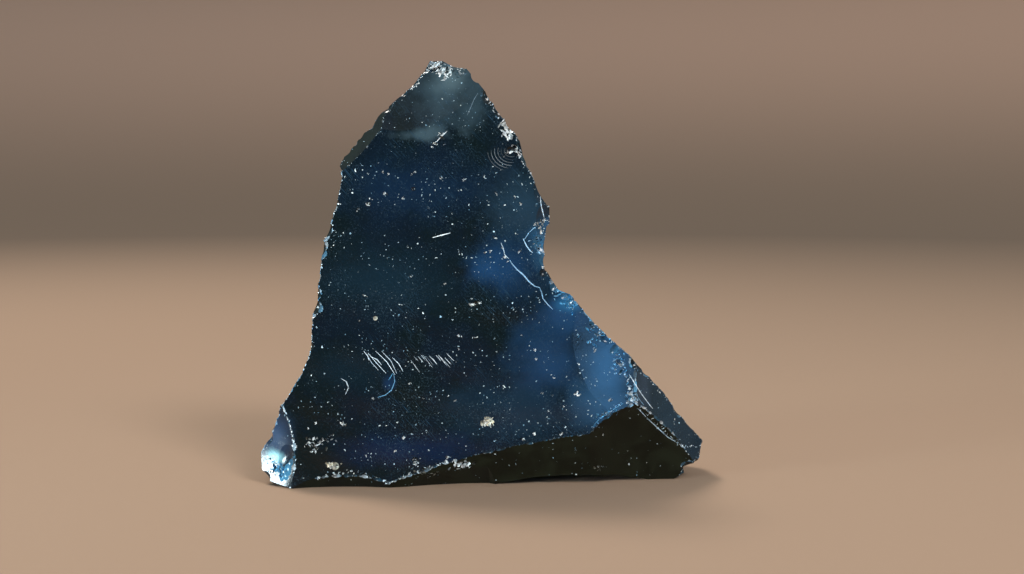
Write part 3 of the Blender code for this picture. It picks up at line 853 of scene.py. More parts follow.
# %% Plan of the crushed spots
CRUSHED = {
    # centre (x, z), spread, how many, largest splinter, crush, cream, glint
    "peak_left": ((-12.2, 106.2), (3.0, 1.6), 56, 1.1, 1.0, 0.0, 0.0),
    "peak_face": ((-9.3, 104.4), (1.6, 1.6), 26, 0.9, 1.0, 0.0, 0.0),
    "peak_flutes": ((-5.6, 104.6), (2.0, 1.0), 16, 0.6, 0.5, 0.0, 0.2),
    "drop": ((-10.4, 88.6), (1.5, 1.1), 12, 0.6, 1.0, 0.2, 0.0),
    "right_upper": ((6.4, 90.6), (1.8, 2.6), 60, 1.2, 1.0, 0.05, 0.0),
    "right_lower": ((9.0, 85.4), (1.5, 1.3), 26, 1.0, 1.0, 0.0, 0.0),
    "right_arcs": ((6.6, 85.4), (2.4, 2.0), 18, 0.5, 0.3, 0.0, 0.0),
    "toe_top": ((-42.6, 11.0), (2.6, 1.5), 40, 0.6, 0.7, 0.1, 0.0),
    "toe_band": ((-38.6, 12.6), (4.0, 1.0), 30, 0.45, 0.6, 0.0, 0.0),
    "toe_hot": ((-52.6, 4.6), (2.4, 2.2), 44, 0.8, 0.3, 0.0, 0.9),
    "heel_left": ((-37.8, 5.8), (1.8, 1.0), 22, 0.8, 0.5, 0.9, 0.0),
    "heel_middle": ((-17.0, 7.0), (1.3, 1.1), 22, 0.5, 0.9, 0.2, 0.0),
    "heel_slope": ((-14.0, 3.4), (3.0, 1.2), 16, 0.6, 0.2, 0.5, 0.0),
    "heel_right": ((-5.6, 5.6), (3.0, 1.2), 54, 0.9, 1.0, 0.1, 0.0),
    "corner": ((37.6, 22.4), (1.5, 2.2), 44, 0.9, 0.8, 0.0, 0.6),
    "corner_front": ((31.5, 18.6), (3.0, 0.9), 26, 0.6, 0.3, 0.0, 0.6),
    "neck": ((13.6, 61.8), (1.5, 2.6), 22, 0.7, 0.5, 0.0, 0.6),
    "neck_top": ((14.6, 66.4), (1.2, 2.0), 18, 0.7, 0.7, 0.3, 0.0),
    "slope": ((21.8, 46.8), (3.4, 2.2), 44, 0.7, 0.3, 0.0, 0.9),
    "slope_low": ((28.8, 38.8), (3.4, 3.0), 36, 0.7, 0.5, 0.0, 1.0),
    "slope_end": ((34.2, 31.4), (1.8, 3.2), 30, 0.8, 0.7, 0.0, 1.0),
    "cream_pit": ((1.3, 16.8), (1.5, 1.2), 34, 0.9, 0.8, 1.0, 0.0),
    "keel_low": ((30.0, 4.0), (3.0, 1.0), 12, 0.4, 0.2, 0.3, 0.0),
}
print("crushed spots:", len(CRUSHED))

# %% Plan of the single dents in the broad face
DENTS = [
    # (x, z), size
    ((-31.4, 70.1), 0.7), ((-28.8, 71.9), 0.8), ((-28.3, 73.0), 0.5), ((-24.6, 74.2), 0.7),
    ((-20.0, 73.0), 0.6), ((-18.0, 79.2), 0.5), ((-16.9, 79.8), 0.6), ((-25.1, 79.6), 0.4),
    ((-23.8, 79.2), 0.4), ((3.1, 63.2), 0.7), ((0.6, 59.5), 0.6), ((1.8, 59.9), 0.6),
    ((5.0, 60.6), 0.5), ((5.6, 58.4), 0.7), ((6.4, 57.1), 0.5), ((9.2, 59.7), 0.6),
    ((3.3, 74.4), 0.6), ((5.6, 71.5), 0.4), ((-4.8, 77.8), 0.6), ((8.2, 73.5), 0.5),
    ((9.7, 71.7), 0.5), ((-29.9, 48.3), 0.6), ((-31.2, 42.3), 0.4), ((-2.9, 46.4), 0.9),
    ((-0.7, 46.8), 0.6), ((-9.7, 51.6), 0.4), ((-18.1, 53.4), 0.4), ((-35.3, 16.2), 0.9),
    ((-42.4, 16.4), 0.5), ((-44.2, 15.2), 0.4), ((-29.5, 8.1), 0.5), ((-20.0, 12.6), 0.7),
    ((-22.2, 9.3), 0.5), ((-9.0, 7.7), 0.7), ((-8.8, 23.2), 0.4), ((-7.2, 22.1), 0.4),
    ((-15.1, 22.6), 0.4), ((-18.3, 26.4), 0.5), ((-27.7, 22.6), 0.5), ((-5.7, 38.5), 0.6),
    ((-1.9, 38.0), 0.6), ((-5.9, 34.9), 0.5), ((13.0, 34.9), 0.6), ((13.5, 32.5), 0.5),
    ((9.9, 38.5), 0.4), ((18.0, 27.7), 0.4), ((5.4, 25.7), 0.4), ((15.0, 23.9), 0.4),
    ((24.0, 23.6), 0.9), ((16.7, 19.4), 0.5), ((20.5, 20.6), 0.4), ((10.4, 12.3), 0.9),
    ((13.2, 13.6), 0.6), ((19.8, 13.6), 0.6), ((-4.2, 10.5), 0.4), ((3.1, 8.5), 0.4),
    ((32.4, 22.4), 0.8), ((30.6, 13.1), 0.4), ((37.5, 4.5), 0.4), ((49.6, 15.8), 0.5),
    ((-11.8, 87.0), 0.7), ((-12.8, 86.0), 0.4), ((-10.4, 78.4), 0.5), ((0.4, 78.7), 0.4),
]
# spread and largest splinter in shares of the dent's size, then crush, cream and glint
DENT_SPREAD = (0.7, 0.55)
DENT_LARGEST = 0.7
DENT_SPLINTERS = 5
DENT_FINISH = (1.0, 0.15, 0.0)
broken_places = list(CRUSHED.values())
for place, size in DENTS:
    spread = (DENT_SPREAD[0] * size, DENT_SPREAD[1] * size)
    broken_places.append((place, spread, DENT_SPLINTERS, DENT_LARGEST * size, *DENT_FINISH))
print("dents:", len(DENTS))

# %% Plan of the nicks along the rims
RIM_NICKS = [
    # run, spacing, largest splinter, crush, cream, glint
    (LEFT_RIM, 1.1, 0.5, 0.8, 0.1, 0.7), (TOE_RIDGE, 0.8, 0.45, 1.0, 0.0, 0.3),
    (PEAK, 0.7, 0.55, 1.0, 0.1, 0.0), (RIGHT_EDGE, 0.7, 0.5, 1.0, 0.1, 0.2),
    (SLOPE[:5], 0.5, 0.5, 0.9, 0.1, 0.9), (CORNER_RIDGE, 0.35, 0.5, 1.0, 0.0, 0.9),
    (NOSE_RIDGE, 0.5, 0.4, 1.0, 0.1, 0.3), (SLOPE[4:] + TIP, 1.0, 0.4, 0.8, 0.2, 0.3),
    (KEEL_RIDGE[4:], 0.5, 0.45, 0.8, 0.0, 0.9), (HEEL_RIDGE, 0.6, 0.45, 1.0, 0.2, 0.2),
]
NICK_FORWARD = Vector((0.0, 0.5, 0.0)) * MM
NICK_JITTER = 0.5
print("nicked runs:", len(RIM_NICKS))

# %% Cut the splinters
SPLINTER_SEED = 31
SPLINTER_TILT = 0.6
SMALLEST_SPLINTER = 0.25
SPLINTER_THICKNESS = (0.25, 0.6)
SPLINTER_WIDTH = (0.5, 1.5)
SPLINTER_BITE = (0.3, 0.8)
CRUSH_SHARES = (0.1, 0.7, 1.0)
SCATTER = 0.5
dice = random.Random(SPLINTER_SEED)


def splinter(spot, normal, largest, crush, cream, glint):
    """A small flat-sided wedge sunk into the stone at a random slant."""
    tilt = Vector(dice.uniform(-SPLINTER_TILT, SPLINTER_TILT) for _ in range(3))
    outward = (normal + tilt).normalized()
    radius = dice.uniform(min(SMALLEST_SPLINTER, 0.6 * largest), largest) * MM
    size = (radius * dice.uniform(*SPLINTER_THICKNESS), radius * dice.uniform(*SPLINTER_WIDTH), radius)
    heading = Vector(dice.uniform(-1.0, 1.0) for _ in range(3))
    return chip(spot, outward, heading, size, radius * dice.uniform(*SPLINTER_BITE), WEDGE,
                crush=crush * dice.choice(CRUSH_SHARES), cream=cream * dice.random(),
                glint=glint * dice.random())


surface = Surface(stone)
splinters = []
for (x, z), (wide, high), count, *finish in broken_places:
    for _ in range(count):
        spot, normal = surface.under(x + dice.gauss(0.0, SCATTER) * wide,
                                     z + dice.gauss(0.0, SCATTER) * high)
        if spot is not None:
            splinters.append(splinter(spot, normal, *finish))
for run, spacing, *finish in RIM_NICKS:
    for place in along_run(run, spacing, NICK_JITTER, dice):
        splinters.append(splinter(*surface.nearest(place - NICK_FORWARD), *finish))
cut_chips(stone, splinters)

# %% [markdown]
# A groove is a tapered tube, half sunk along the surface.  A curve with a bevel makes the tube,
# and each of its points is lowered onto the stone first.  Scratches and cracks are listed one by
# one.  The fan, the comb of hackles and the arcs below the crushed shoulder repeat, so loops
# make those.


# %% Plan of the grooves
GROOVE_SEED = 41
dice = random.Random(GROOVE_SEED)
GROOVES = [
    # run of (x, z), width, depth, crush, glint
    ([(-1.2, 99.5), (-2.2, 97.9), (-2.9, 96.2), (-3.9, 94.0)], 0.22, 0.08, 0.3, 0.1),
    ([(-9.0, 90.0), (-10.4, 88.7), (-11.6, 87.4)], 0.31, 0.15, 0.8, 0.0),
    ([(-12.8, 63.2), (-10.5, 63.8), (-8.2, 64.4)], 0.31, 0.15, 1.0, 0.0),
    ([(6.8, 57.6), (7.4, 56.6), (8.7, 55.1), (10.2, 53.9), (11.7, 52.1), (13.2, 50.9), (14.4, 50.6)],
     0.35, 0.18, 0.65, 0.6),
    ([(14.4, 50.6), (14.9, 49.4), (15.2, 47.9), (16.4, 46.4), (17.7, 45.1)], 0.28, 0.15, 0.6, 0.6),
    ([(4.6, 61.9), (5.2, 60.4), (5.6, 58.8), (6.6, 57.9)], 0.22, 0.09, 0.7, 0.3),
    ([(15.6, 68.0), (13.6, 66.2), (11.6, 64.4), (10.6, 62.8)], 0.22, 0.09, 0.5, 0.5),
    ([(10.2, 63.0), (10.9, 61.4), (11.8, 60.1), (12.6, 59.4)], 0.28, 0.11, 0.8, 0.6),
    ([(12.4, 79.7), (13.4, 77.2), (14.5, 74.5), (14.8, 71.2), (15.6, 68.0)], 0.32, 0.12, 0.8, 0.3),
    ([(-22.6, 28.8), (-22.3, 26.8), (-23.2, 24.6), (-24.8, 23.4), (-26.6, 22.9)], 0.22, 0.10, 0.4, 0.6),
    ([(-22.8, 29.0), (-23.4, 27.9), (-23.9, 27.2)], 0.22, 0.09, 0.2, 0.5),
    ([(-35.8, 27.6), (-34.6, 26.9), (-34.0, 25.4), (-34.8, 23.6)], 0.25, 0.09, 0.6, 0.1),
    ([(37.2, 28.5), (38.6, 26.2), (40.4, 23.4), (42.4, 20.7), (43.4, 19.4)], 0.3, 0.12, 0.9, 0.2),
    ([(38.6, 24.4), (39.6, 22.4), (41.0, 20.6)], 0.2, 0.08, 0.5, 0.5),
    ([(39.5, 19.8), (41.5, 17.5), (44.6, 14.4), (47.6, 11.5), (50.4, 9.7)], 0.26, 0.12, 0.7, 0.3),
    ([(27.8, 15.6), (29.6, 17.6), (32.6, 19.6), (35.6, 21.4)], 0.2, 0.09, 0.3, 0.7),
]
FAN = [
    [(-29.5, 33.9), (-28.2, 31.6), (-26.4, 29.7)], [(-29.1, 34.1), (-26.9, 31.5), (-24.5, 28.9)],
    [(-27.2, 34.6), (-24.4, 31.9), (-22.2, 28.5)], [(-25.6, 34.5), (-23.3, 32.1), (-21.8, 28.9)],
    [(-22.9, 32.9), (-21.3, 31.3), (-20.2, 29.4)], [(-30.2, 34.6), (-29.2, 33.4), (-28.8, 32.2)],
    [(-28.4, 33.2), (-26.8, 32.4), (-25.6, 31.0)],
]
FAN_WIDTH = (0.14, 0.22)
FAN_DEPTH = 0.06
FAN_CRUSH = (0.5, 1.0)
FAN_GLINT = 0.2
for run in FAN:
    GROOVES.append((run, dice.uniform(*FAN_WIDTH), FAN_DEPTH, dice.uniform(*FAN_CRUSH), FAN_GLINT))
print("single grooves and the fan:", len(GROOVES))

# %% Plan of the comb
COMB_COUNT = 14
COMB_START = (-18.0, 32.6)
COMB_STEP = (0.74, 0.05)
COMB_NUDGE_X = (-0.25, 0.25)
COMB_NUDGE_Z = (-0.7, 0.9)
COMB_LENGTH = (1.6, 4.4)
COMB_HEADING = (-56.0, -44.0)
COMB_WIDTH = (0.10, 0.15)
COMB_DEPTH = 0.04
COMB_CRUSH = (0.2, 0.9)
COMB_GLINT = 0.1
for i in range(COMB_COUNT):
    x = COMB_START[0] + COMB_STEP[0] * i + dice.uniform(*COMB_NUDGE_X)
    z = COMB_START[1] + COMB_STEP[1] * i + dice.uniform(*COMB_NUDGE_Z)
    length = dice.uniform(*COMB_LENGTH)
    heading = math.radians(dice.uniform(*COMB_HEADING))
    end = (x + length * math.cos(heading), z + length * math.sin(heading))
    GROOVES.append(([(x, z), end], dice.uniform(*COMB_WIDTH), COMB_DEPTH, dice.uniform(*COMB_CRUSH),
                    COMB_GLINT))
print("hackles in the comb:", COMB_COUNT)

# %% Plan of the arcs
ARC_CENTRE = (7.2, 85.0)
ARC_COUNT = 6
ARC_FIRST = 1.7
ARC_STEP = 0.85
ARC_FLATNESS = 0.85
ARC_BEGIN, ARC_END, ARC_EVERY = 150, 301, 15
ARC_LATER, ARC_SOONER = 6, 8
ARC_WIDTH = (0.15, 0.3)
ARC_DEPTH = 0.06
ARC_CRUSH = (0.1, 0.4)
for i in range(ARC_COUNT):
    radius = ARC_FIRST + ARC_STEP * i
    # in degrees from the right; the outer arcs begin later and end sooner
    span = range(ARC_BEGIN + ARC_LATER * i, ARC_END - ARC_SOONER * i, ARC_EVERY)
    turns = [math.radians(turn) for turn in span]
    arc = [(ARC_CENTRE[0] + radius * math.cos(turn),
            ARC_CENTRE[1] + ARC_FLATNESS * radius * math.sin(turn)) for turn in turns]
    GROOVES.append((arc, dice.uniform(*ARC_WIDTH), ARC_DEPTH, dice.uniform(*ARC_CRUSH), 0.0))
print("all grooves:", len(GROOVES))

# %% One groove as a tube on the surface
GROOVE_STEP = 0.5
GROOVE_WELD = 0.002
TAPER_END = 0.25


def groove_mesh(surface, run, width, depth, crush, glint):
    """A closed tapered tube that follows the surface under a run of plan points."""
    curve = bpy.data.curves.new("groove", "CURVE")
    curve.dimensions = "3D"
    curve.bevel_depth = 0.5 * width * MM
    curve.bevel_resolution = 1
    curve.use_fill_caps = True
    steps = []
    for (x0, z0), (x1, z1) in zip(run, run[1:]):
        count = max(1, round(math.hypot(x1 - x0, z1 - z0) / GROOVE_STEP))
        steps += [(x0 + (x1 - x0) * i / count, z0 + (z1 - z0) * i / count) for i in range(count)]
    steps.append(run[-1])
    places = [surface.under(x, z) for x, z in steps]
    places = [(spot, normal) for spot, normal in places if spot is not None]
    spline = curve.splines.new("POLY")
    spline.points.add(len(places) - 1)
    for i, (point, (spot, normal)) in enumerate(zip(spline.points, places)):
        middle = spot + normal * (0.5 * width - depth) * MM
        point.co = (*middle, 1.0)
        bulge = math.sin(math.pi * (i + 0.5) / len(places)) ** 0.5
        point.radius = TAPER_END + (1.0 - TAPER_END) * bulge
    mesh = curve_to_mesh(curve, "groove")
    shape = bmesh.new()
    shape.from_mesh(mesh)
    bmesh.ops.remove_doubles(shape, verts=shape.verts, dist=GROOVE_WELD * MM)
    bmesh.ops.recalc_face_normals(shape, faces=shape.faces)
    shape.to_mesh(mesh)
    shape.free()
    stamp(mesh, scar=next(scar_numbers), sheen=1.0, crush=crush, glint=glint)
    middle = sum((spot for spot, _ in places), Vector()) / len(places)
    reach = max((spot - middle).length for spot, _ in places) + width * MM
    return {"at": middle, "reach": reach, "mesh": mesh}


print("groove steps of", GROOVE_STEP, "mm")


# %% Cut the grooves
def joined(meshes):
    """Several closed meshes as one."""
    shape = bmesh.new()
    for mesh in meshes:
        shape.from_mesh(mesh)
        bpy.data.meshes.remove(mesh)
    whole = bpy.data.meshes.new("grooves")
    shape.to_mesh(whole)
    shape.free()
    return whole


surface = Surface(stone)
grooves = [groove_mesh(surface, *groove) for groove in GROOVES]
rounds = apart(grooves)
for group in rounds:
    carve(stone, joined([one["mesh"] for one in group]))
print(len(grooves), "grooves in", len(rounds), "rounds:", len(stone.data.polygons), "faces")

# %% [markdown]
# ## Finishing the mesh
#
# Cutting leaves crumbs and slivers.  The largest body is kept.  Shading is smooth inside each
# scar and hard where two scars meet, and the splinters of a crushed spot stay flat, so that
# each one glints by itself.  The stone is then moved from the plan into the frame, and what
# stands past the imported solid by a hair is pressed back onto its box.


# %% Keep the stone, and set its shading
CREASE = math.radians(4.0)
FLAT_CRUSH = 0.15


def keep_stone(mesh):
    """Drop crumbs that the cuts have parted from the stone."""
    shape = bmesh.new()
    shape.from_mesh(mesh)
    bmesh.ops.triangulate(shape, faces=shape.faces)
    unseen = set(shape.verts)
    bodies = []
    while unseen:
        front = [unseen.pop()]
        body = set(front)
        while front:
            for edge in front.pop().link_edges:
                for other in edge.verts:
                    if other in unseen:
                        unseen.remove(other)
                        body.add(other)
                        front.append(other)
        bodies.append(body)
    bodies.sort(key=len)
    for crumb in bodies[:-1]:
        bmesh.ops.delete(shape, geom=list(crumb), context="VERTS")
    scar = shape.faces.layers.int["scar"]
    crush = shape.faces.layers.float["crush"]
    for edge in shape.edges:
        sides = edge.link_faces
        parted = len(sides) == 2 and sides[0][scar] != sides[1][scar]
        bend = edge.calc_face_angle(0.0)
        edge.smooth = not (bend > RIDGE_ANGLE or (parted and bend > CREASE))
    for side in shape.faces:
        side.smooth = side[crush] < FLAT_CRUSH
    shape.to_mesh(mesh)
    shape.free()
    return len(bodies) - 1


crumbs = keep_stone(stone.data)
print("crumbs dropped:", crumbs)

# %% Into the frame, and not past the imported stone
stone.data.transform(Matrix.Translation(PLAN_TO_FRAME))
spots = spots_of(stone.data)
low, high = spots.min(0), spots.max(0)
print("box", np.round(low / MM, 2), np.round(high / MM, 2))
print("packed box", [round(c / MM, 2) for c in (*cad_low, *cad_high)])
move_spots(stone.data, np.clip(spots, np.array(cad_low), np.array(cad_high)))
print("stone:", len(stone.data.polygons), "triangles")

# %% [markdown]
# ## The glass
#
# Obsidian is opaque at this size and nearly black, so most of what is seen is what it mirrors.
# A Principled shader with a very dark base and a low roughness does that.  On top come effects
# with a node group each: soft patches of painted reflection, fine parallel streaks, and pale
# specks of three sizes.  The groups work in millimetres on the stone itself, so one group serves
# every size.  A few helpers come first, because a node tree is long to write and short to say.


# %% Node helpers
def new_group(name, inputs, outputs):
    """An empty shader node group with named sockets, its input node and its output node."""
    group = bpy.data.node_groups.new(name, "ShaderNodeTree")
    for label, kind, value in inputs:
        socket = group.interface.new_socket(label, in_out="INPUT", socket_type=kind)
        if value is not None:
            socket.default_value = value
    for label, kind in outputs:
        group.interface.new_socket(label, in_out="OUTPUT", socket_type=kind)
    return group, group.nodes.new("NodeGroupInput"), group.nodes.new("NodeGroupOutput")


def give(tree, socket, value):
    """Set a socket to a plain value, or link another socket to it."""
    if isinstance(value, bpy.types.NodeSocket):
        tree.links.new(value, socket)
    else:
        socket.default_value = value


def math_node(tree, operation, *values, clamp=False):
    """A Math node whose inputs are numbers or sockets; gives back its result."""
    node = tree.nodes.new("ShaderNodeMath")
    node.operation = operation
    node.use_clamp = clamp
    for socket, value in zip(node.inputs, values):
        give(tree, socket, value)
    return node.outputs[0]


def vector_node(tree, operation, *values, **named):
    """A Vector Math node; its result is the first output, or the second for a length."""
    node = tree.nodes.new("ShaderNodeVectorMath")
    node.operation = operation
    for socket, value in zip(node.inputs, values):
        give(tree, socket, value)
    for label, value in named.items():
        give(tree, node.inputs[label], value)
    return node.outputs["Value" if operation == "LENGTH" else "Vector"]


def remap(tree, value, low, high, to_low=0.0, to_high=1.0):
    """A smooth step from one range to another."""
    node = tree.nodes.new("ShaderNodeMapRange")
    node.interpolation_type = "SMOOTHSTEP"
    tree.links.new(value, node.inputs["Value"])
    for label, limit in (("From Min", low), ("From Max", high), ("To Min", to_low), ("To Max", to_high)):
        give(tree, node.inputs[label], limit)
    return node.outputs["Result"]


def noise_node(tree, vector, scale, detail, roughness, distortion=0.0):
    """Noise; its scale is in waves to a millimetre wherever the coordinates are in millimetres."""
    node = tree.nodes.new("ShaderNodeTexNoise")
    tree.links.new(vector, node.inputs["Vector"])
    node.inputs["Scale"].default_value = scale
    node.inputs["Detail"].default_value = detail
    node.inputs["Roughness"].default_value = roughness
    node.inputs["Distortion"].default_value = distortion
    return node.outputs["Fac"]


def mix_colour(tree, share, first, second):
    """Mix two colours by a share; colours are sockets or tuples."""
    node = tree.nodes.new("ShaderNodeMix")
    node.data_type = "RGBA"
    for label, value in (("Factor", share), ("A", first), ("B", second)):
        socket = next(s for s in node.inputs if s.name == label and s.enabled)
        give(tree, socket, (*value, 1.0) if isinstance(value, tuple) else value)
    return next(s for s in node.outputs if s.enabled)


print("node helpers ready")

# %% [markdown]
# A speck is a pale grain that the broken face slices through.  Voronoi cells give one grain to a
# cell at most.  A cell's own random colour decides whether it holds a grain, how large the grain
# is, and its tint, so one texture does all three.

# %% Group: pale specks
# the smallest grain, and where a grain's edge begins, in shares of its size
SPECK_LEAST = 0.35
SPECK_EDGE = 0.55


def make_specks():
    """Dots where a surface slices through small grains, one grain to a cell at most."""
    group, given, out = new_group(
        "specks",
        [("Vector", "NodeSocketVector", None), ("Cell", "NodeSocketFloat", 3.0),
         ("Size", "NodeSocketFloat", 0.3), ("Share", "NodeSocketFloat", 0.5)],
        [("Mask", "NodeSocketFloat"), ("Tint", "NodeSocketFloat")])
    per_cell = math_node(group, "DIVIDE", 1.0, given.outputs["Cell"])
    cells = group.nodes.new("ShaderNodeTexVoronoi")
    cells.feature = "F1"
    cells.inputs["Scale"].default_value = 1.0
    group.links.new(vector_node(group, "SCALE", given.outputs["Vector"], Scale=per_cell),
                    cells.inputs["Vector"])
    split = group.nodes.new("ShaderNodeSeparateColor")
    group.links.new(cells.outputs["Color"], split.inputs[0])
    kept = math_node(group, "LESS_THAN", split.outputs[0], given.outputs["Share"])
    growth = math_node(group, "ADD", SPECK_LEAST, math_node(group, "POWER", split.outputs[1], 2.0))
    size = math_node(group, "MULTIPLY", given.outputs["Size"], growth)
    reach = math_node(group, "DIVIDE", size, given.outputs["Cell"])
    inside = remap(group, math_node(group, "DIVIDE", cells.outputs["Distance"], reach), 1.0, SPECK_EDGE)
    group.links.new(math_node(group, "MULTIPLY", inside, kept), out.inputs["Mask"])
    group.links.new(split.outputs[2], out.inputs["Tint"])
    return group


specks = make_specks()
print("group:", specks.name)

# %% [markdown]
# The blue of such glass is light from the room, caught on curves too slight to model, and a few
# soft clouds stand in for it.  A cloud is the distance from a centre, measured in shares of its
# reach, and noise makes its edge ragged.

# %% Group: a soft patch of painted reflection
# noise: scale, detail, roughness
PATCH_NOISE = (0.09, 4.0, 0.55)
PATCH_RAGGED = 4.0


def make_reflection_patch():
    """A soft cloud round a centre, with ragged edges."""
    group, given, out = new_group(
        "reflection_patch",
        [("Vector", "NodeSocketVector", None), ("Centre", "NodeSocketVector", (0.0, 0.0, 0.0)),
         ("Reach", "NodeSocketVector", (10.0, 10.0, 10.0)), ("Ragged", "NodeSocketFloat", 0.3)],
        [("Mask", "NodeSocketFloat")])
    away = vector_node(group, "SUBTRACT", given.outputs["Vector"], given.outputs["Centre"])
    far = vector_node(group, "LENGTH", vector_node(group, "DIVIDE", away, given.outputs["Reach"]))
    cloud = noise_node(group, given.outputs["Vector"], *PATCH_NOISE)
    ragged = math_node(group, "MULTIPLY", math_node(group, "SUBTRACT", cloud, 0.5),
                       math_node(group, "MULTIPLY", given.outputs["Ragged"], PATCH_RAGGED))
    group.links.new(remap(group, math_node(group, "ADD", far, ragged), 1.0, 0.0), out.inputs["Mask"])
    return group


reflection_patch = make_reflection_patch()
print("group:", reflection_patch.name)

# %% [markdown]
# Streaks are hackles too fine to cut: hair lines that run the way the crack ran.  Noise that is
# squeezed hard along one direction gives lines, and a second, broad noise lets them come and go.

# %% Group: streaks
# noise: scale, detail, roughness
STREAK_LINES = (1.0, 3.0, 0.6)
STREAK_PLACES = (0.07, 2.0, 0.5)
STREAK_EDGE = 0.16
STREAK_BAND = (0.42, 0.62)
STREAK_TOP = 0.95


def make_streaks():
    """Fine parallel marks, much longer than they are wide, that come and go."""
    group, given, out = new_group(
        "streaks",
        [("Vector", "NodeSocketVector", None), ("Turn", "NodeSocketVector", (0.0, 0.0, 0.0)),
         ("Density", "NodeSocketVector", (0.1, 0.1, 3.0)), ("Share", "NodeSocketFloat", 0.5)],
        [("Mask", "NodeSocketFloat")])
    lay = group.nodes.new("ShaderNodeVectorRotate")
    lay.rotation_type = "EULER_XYZ"
    group.links.new(given.outputs["Vector"], lay.inputs["Vector"])
    group.links.new(given.outputs["Turn"], lay.inputs["Rotation"])
    squeezed = vector_node(group, "MULTIPLY", lay.outputs[0], given.outputs["Density"])
    lines = noise_node(group, squeezed, *STREAK_LINES)
    places = remap(group, noise_node(group, given.outputs["Vector"], *STREAK_PLACES), *STREAK_BAND)
    share = math_node(group, "MULTIPLY", given.outputs["Share"], 0.5)
    edge = math_node(group, "SUBTRACT", STREAK_TOP, share)
    drawn = remap(group, lines, math_node(group, "SUBTRACT", edge, STREAK_EDGE), edge)
    group.links.new(math_node(group, "MULTIPLY", drawn, places), out.inputs["Mask"])
    return group


streaks = make_streaks()
print("group:", streaks.name)

# %% [markdown]
# ### The glass, layer by layer
#
# The tree is built in layers, each mixed over the one before: the deep colour, the painted
# reflections, the streaks, a film of dust, the specks, and last the broken spots that the cuts
# have marked.  Each scar's share of painted cold reflection holds the cold layers back where it is
# low, and there the colour keeps a dark warm tone that is partly the glass's own brown and partly a
# painted reflection of the floor.

# %% The material, its millimetre coordinates and the marks
glass = bpy.data.materials.new("obsidian")
glass.use_nodes = True
tree = glass.node_tree
shader = tree.nodes["Principled BSDF"]
coordinates = tree.nodes.new("ShaderNodeTexCoord")
in_mm = vector_node(tree, "SCALE", coordinates.outputs["Object"], Scale=1.0 / MM)
marks = {}
for name in ("sheen", "crush", "cream", "glint"):
    reader = tree.nodes.new("ShaderNodeAttribute")
    reader.attribute_name = name
    marks[name] = reader.outputs["Fac"]
print("marks read:", ", ".join(marks))

# %% Plan of the painted reflections
PAINTED_REFLECTIONS = [
    # centre (x, y, z) in the frame, reach, ragged, colour of the painted reflection
    # the top flake: painted reflection of the paler room above
    ((-9.0, -15.0, 105.0), (17.0, 20.0, 19.0), 0.35, (0.038, 0.065, 0.080)),
    ((-8.5, -14.0, 103.5), (7.0, 20.0, 5.5), 0.3, (0.085, 0.125, 0.140)),
    ((-15.0, -16.0, 89.2), (11.0, 20.0, 2.4), 0.9, (0.040, 0.064, 0.076)),
    ((-17.0, -17.0, 76.0), (30.0, 20.0, 13.0), 0.3, (0.0022, 0.0100, 0.0270)),
    ((10.0, -17.0, 72.0), (14.0, 20.0, 16.0), 0.28, (0.0105, 0.0270, 0.0450)),
    ((-26.0, -17.0, 52.0), (24.0, 20.0, 15.0), 0.28, (0.0030, 0.0110, 0.0185)),
    ((7.0, -17.0, 56.0), (14.0, 20.0, 12.0), 0.3, (0.0048, 0.0260, 0.0680)),
    ((1.5, -17.0, 55.5), (8.0, 20.0, 5.5), 0.3, (0.0070, 0.0360, 0.0950)),
    ((15.0, -17.0, 60.0), (5.0, 20.0, 10.0), 0.28, (0.0140, 0.0520, 0.1000)),
    ((21.0, -19.0, 45.0), (9.0, 20.0, 11.0), 0.3, (0.0080, 0.0360, 0.0900)),
    ((22.0, -19.0, 46.6), (5.0, 20.0, 3.0), 0.28, (0.0180, 0.1050, 0.2100)),
    ((-24.0, -19.0, 26.5), (2.2, 20.0, 2.6), 0.28, (0.0040, 0.0200, 0.0600)),
    ((48.0, -10.0, 18.0), (14.0, 20.0, 22.0), 0.4, (0.0040, 0.0150, 0.0260)),
    ((16.0, -19.0, 31.0), (13.0, 20.0, 17.0), 0.3, (0.0068, 0.0285, 0.0700)),
    ((31.0, -19.0, 30.0), (8.5, 20.0, 22.0), 0.12, (0.0105, 0.0520, 0.1150)),
    ((28.0, -20.0, 21.0), (12.0, 20.0, 8.0), 0.3, (0.0190, 0.0650, 0.1300)),
    ((8.0, -20.0, 19.0), (30.0, 20.0, 11.0), 0.35, (0.0046, 0.0150, 0.0280)),
    ((-18.0, -21.0, 10.0), (26.0, 20.0, 6.5), 0.28, (0.0015, 0.0075, 0.0270)),
    ((-34.0, -21.0, 30.0), (16.0, 20.0, 8.0), 0.28, (0.0018, 0.0075, 0.0125)),
    ((40.0, -12.0, 25.0), (4.5, 20.0, 9.0), 0.4, (0.0300, 0.0420, 0.0640)),
    ((-53.0, -19.0, 12.0), (7.0, 20.0, 13.0), 0.2, (0.0160, 0.0420, 0.0900)),
    # the toe: a painted highlight
    ((-53.0, -19.0, 7.4), (4.2, 20.0, 3.0), 0.4, (0.3400, 0.7200, 0.7800)),
]
print("patches of haze:", len(PAINTED_REFLECTIONS))


# %% The deep colour and its painted reflections
def add_group(group, where, **settings):
    """A group node on millimetre coordinates, with its plain settings."""
    node = tree.nodes.new("ShaderNodeGroup")
    node.node_tree = group
    tree.links.new(where, node.inputs["Vector"])
    for label, value in settings.items():
        node.inputs[label].default_value = value
    return node


# the warm and olive tones are partly the glass's own dark brown and partly a painted reflection of the
# floor; the green and blue ones are the glass's own tones
DEEP_WARM = (0.0078, 0.0100, 0.0052)
DEEP_OLIVE = (0.0034, 0.0046, 0.0022)
DEEP_GREEN = (0.0011, 0.0034, 0.0036)
DEEP_BLUE = (0.0010, 0.0038, 0.0085)
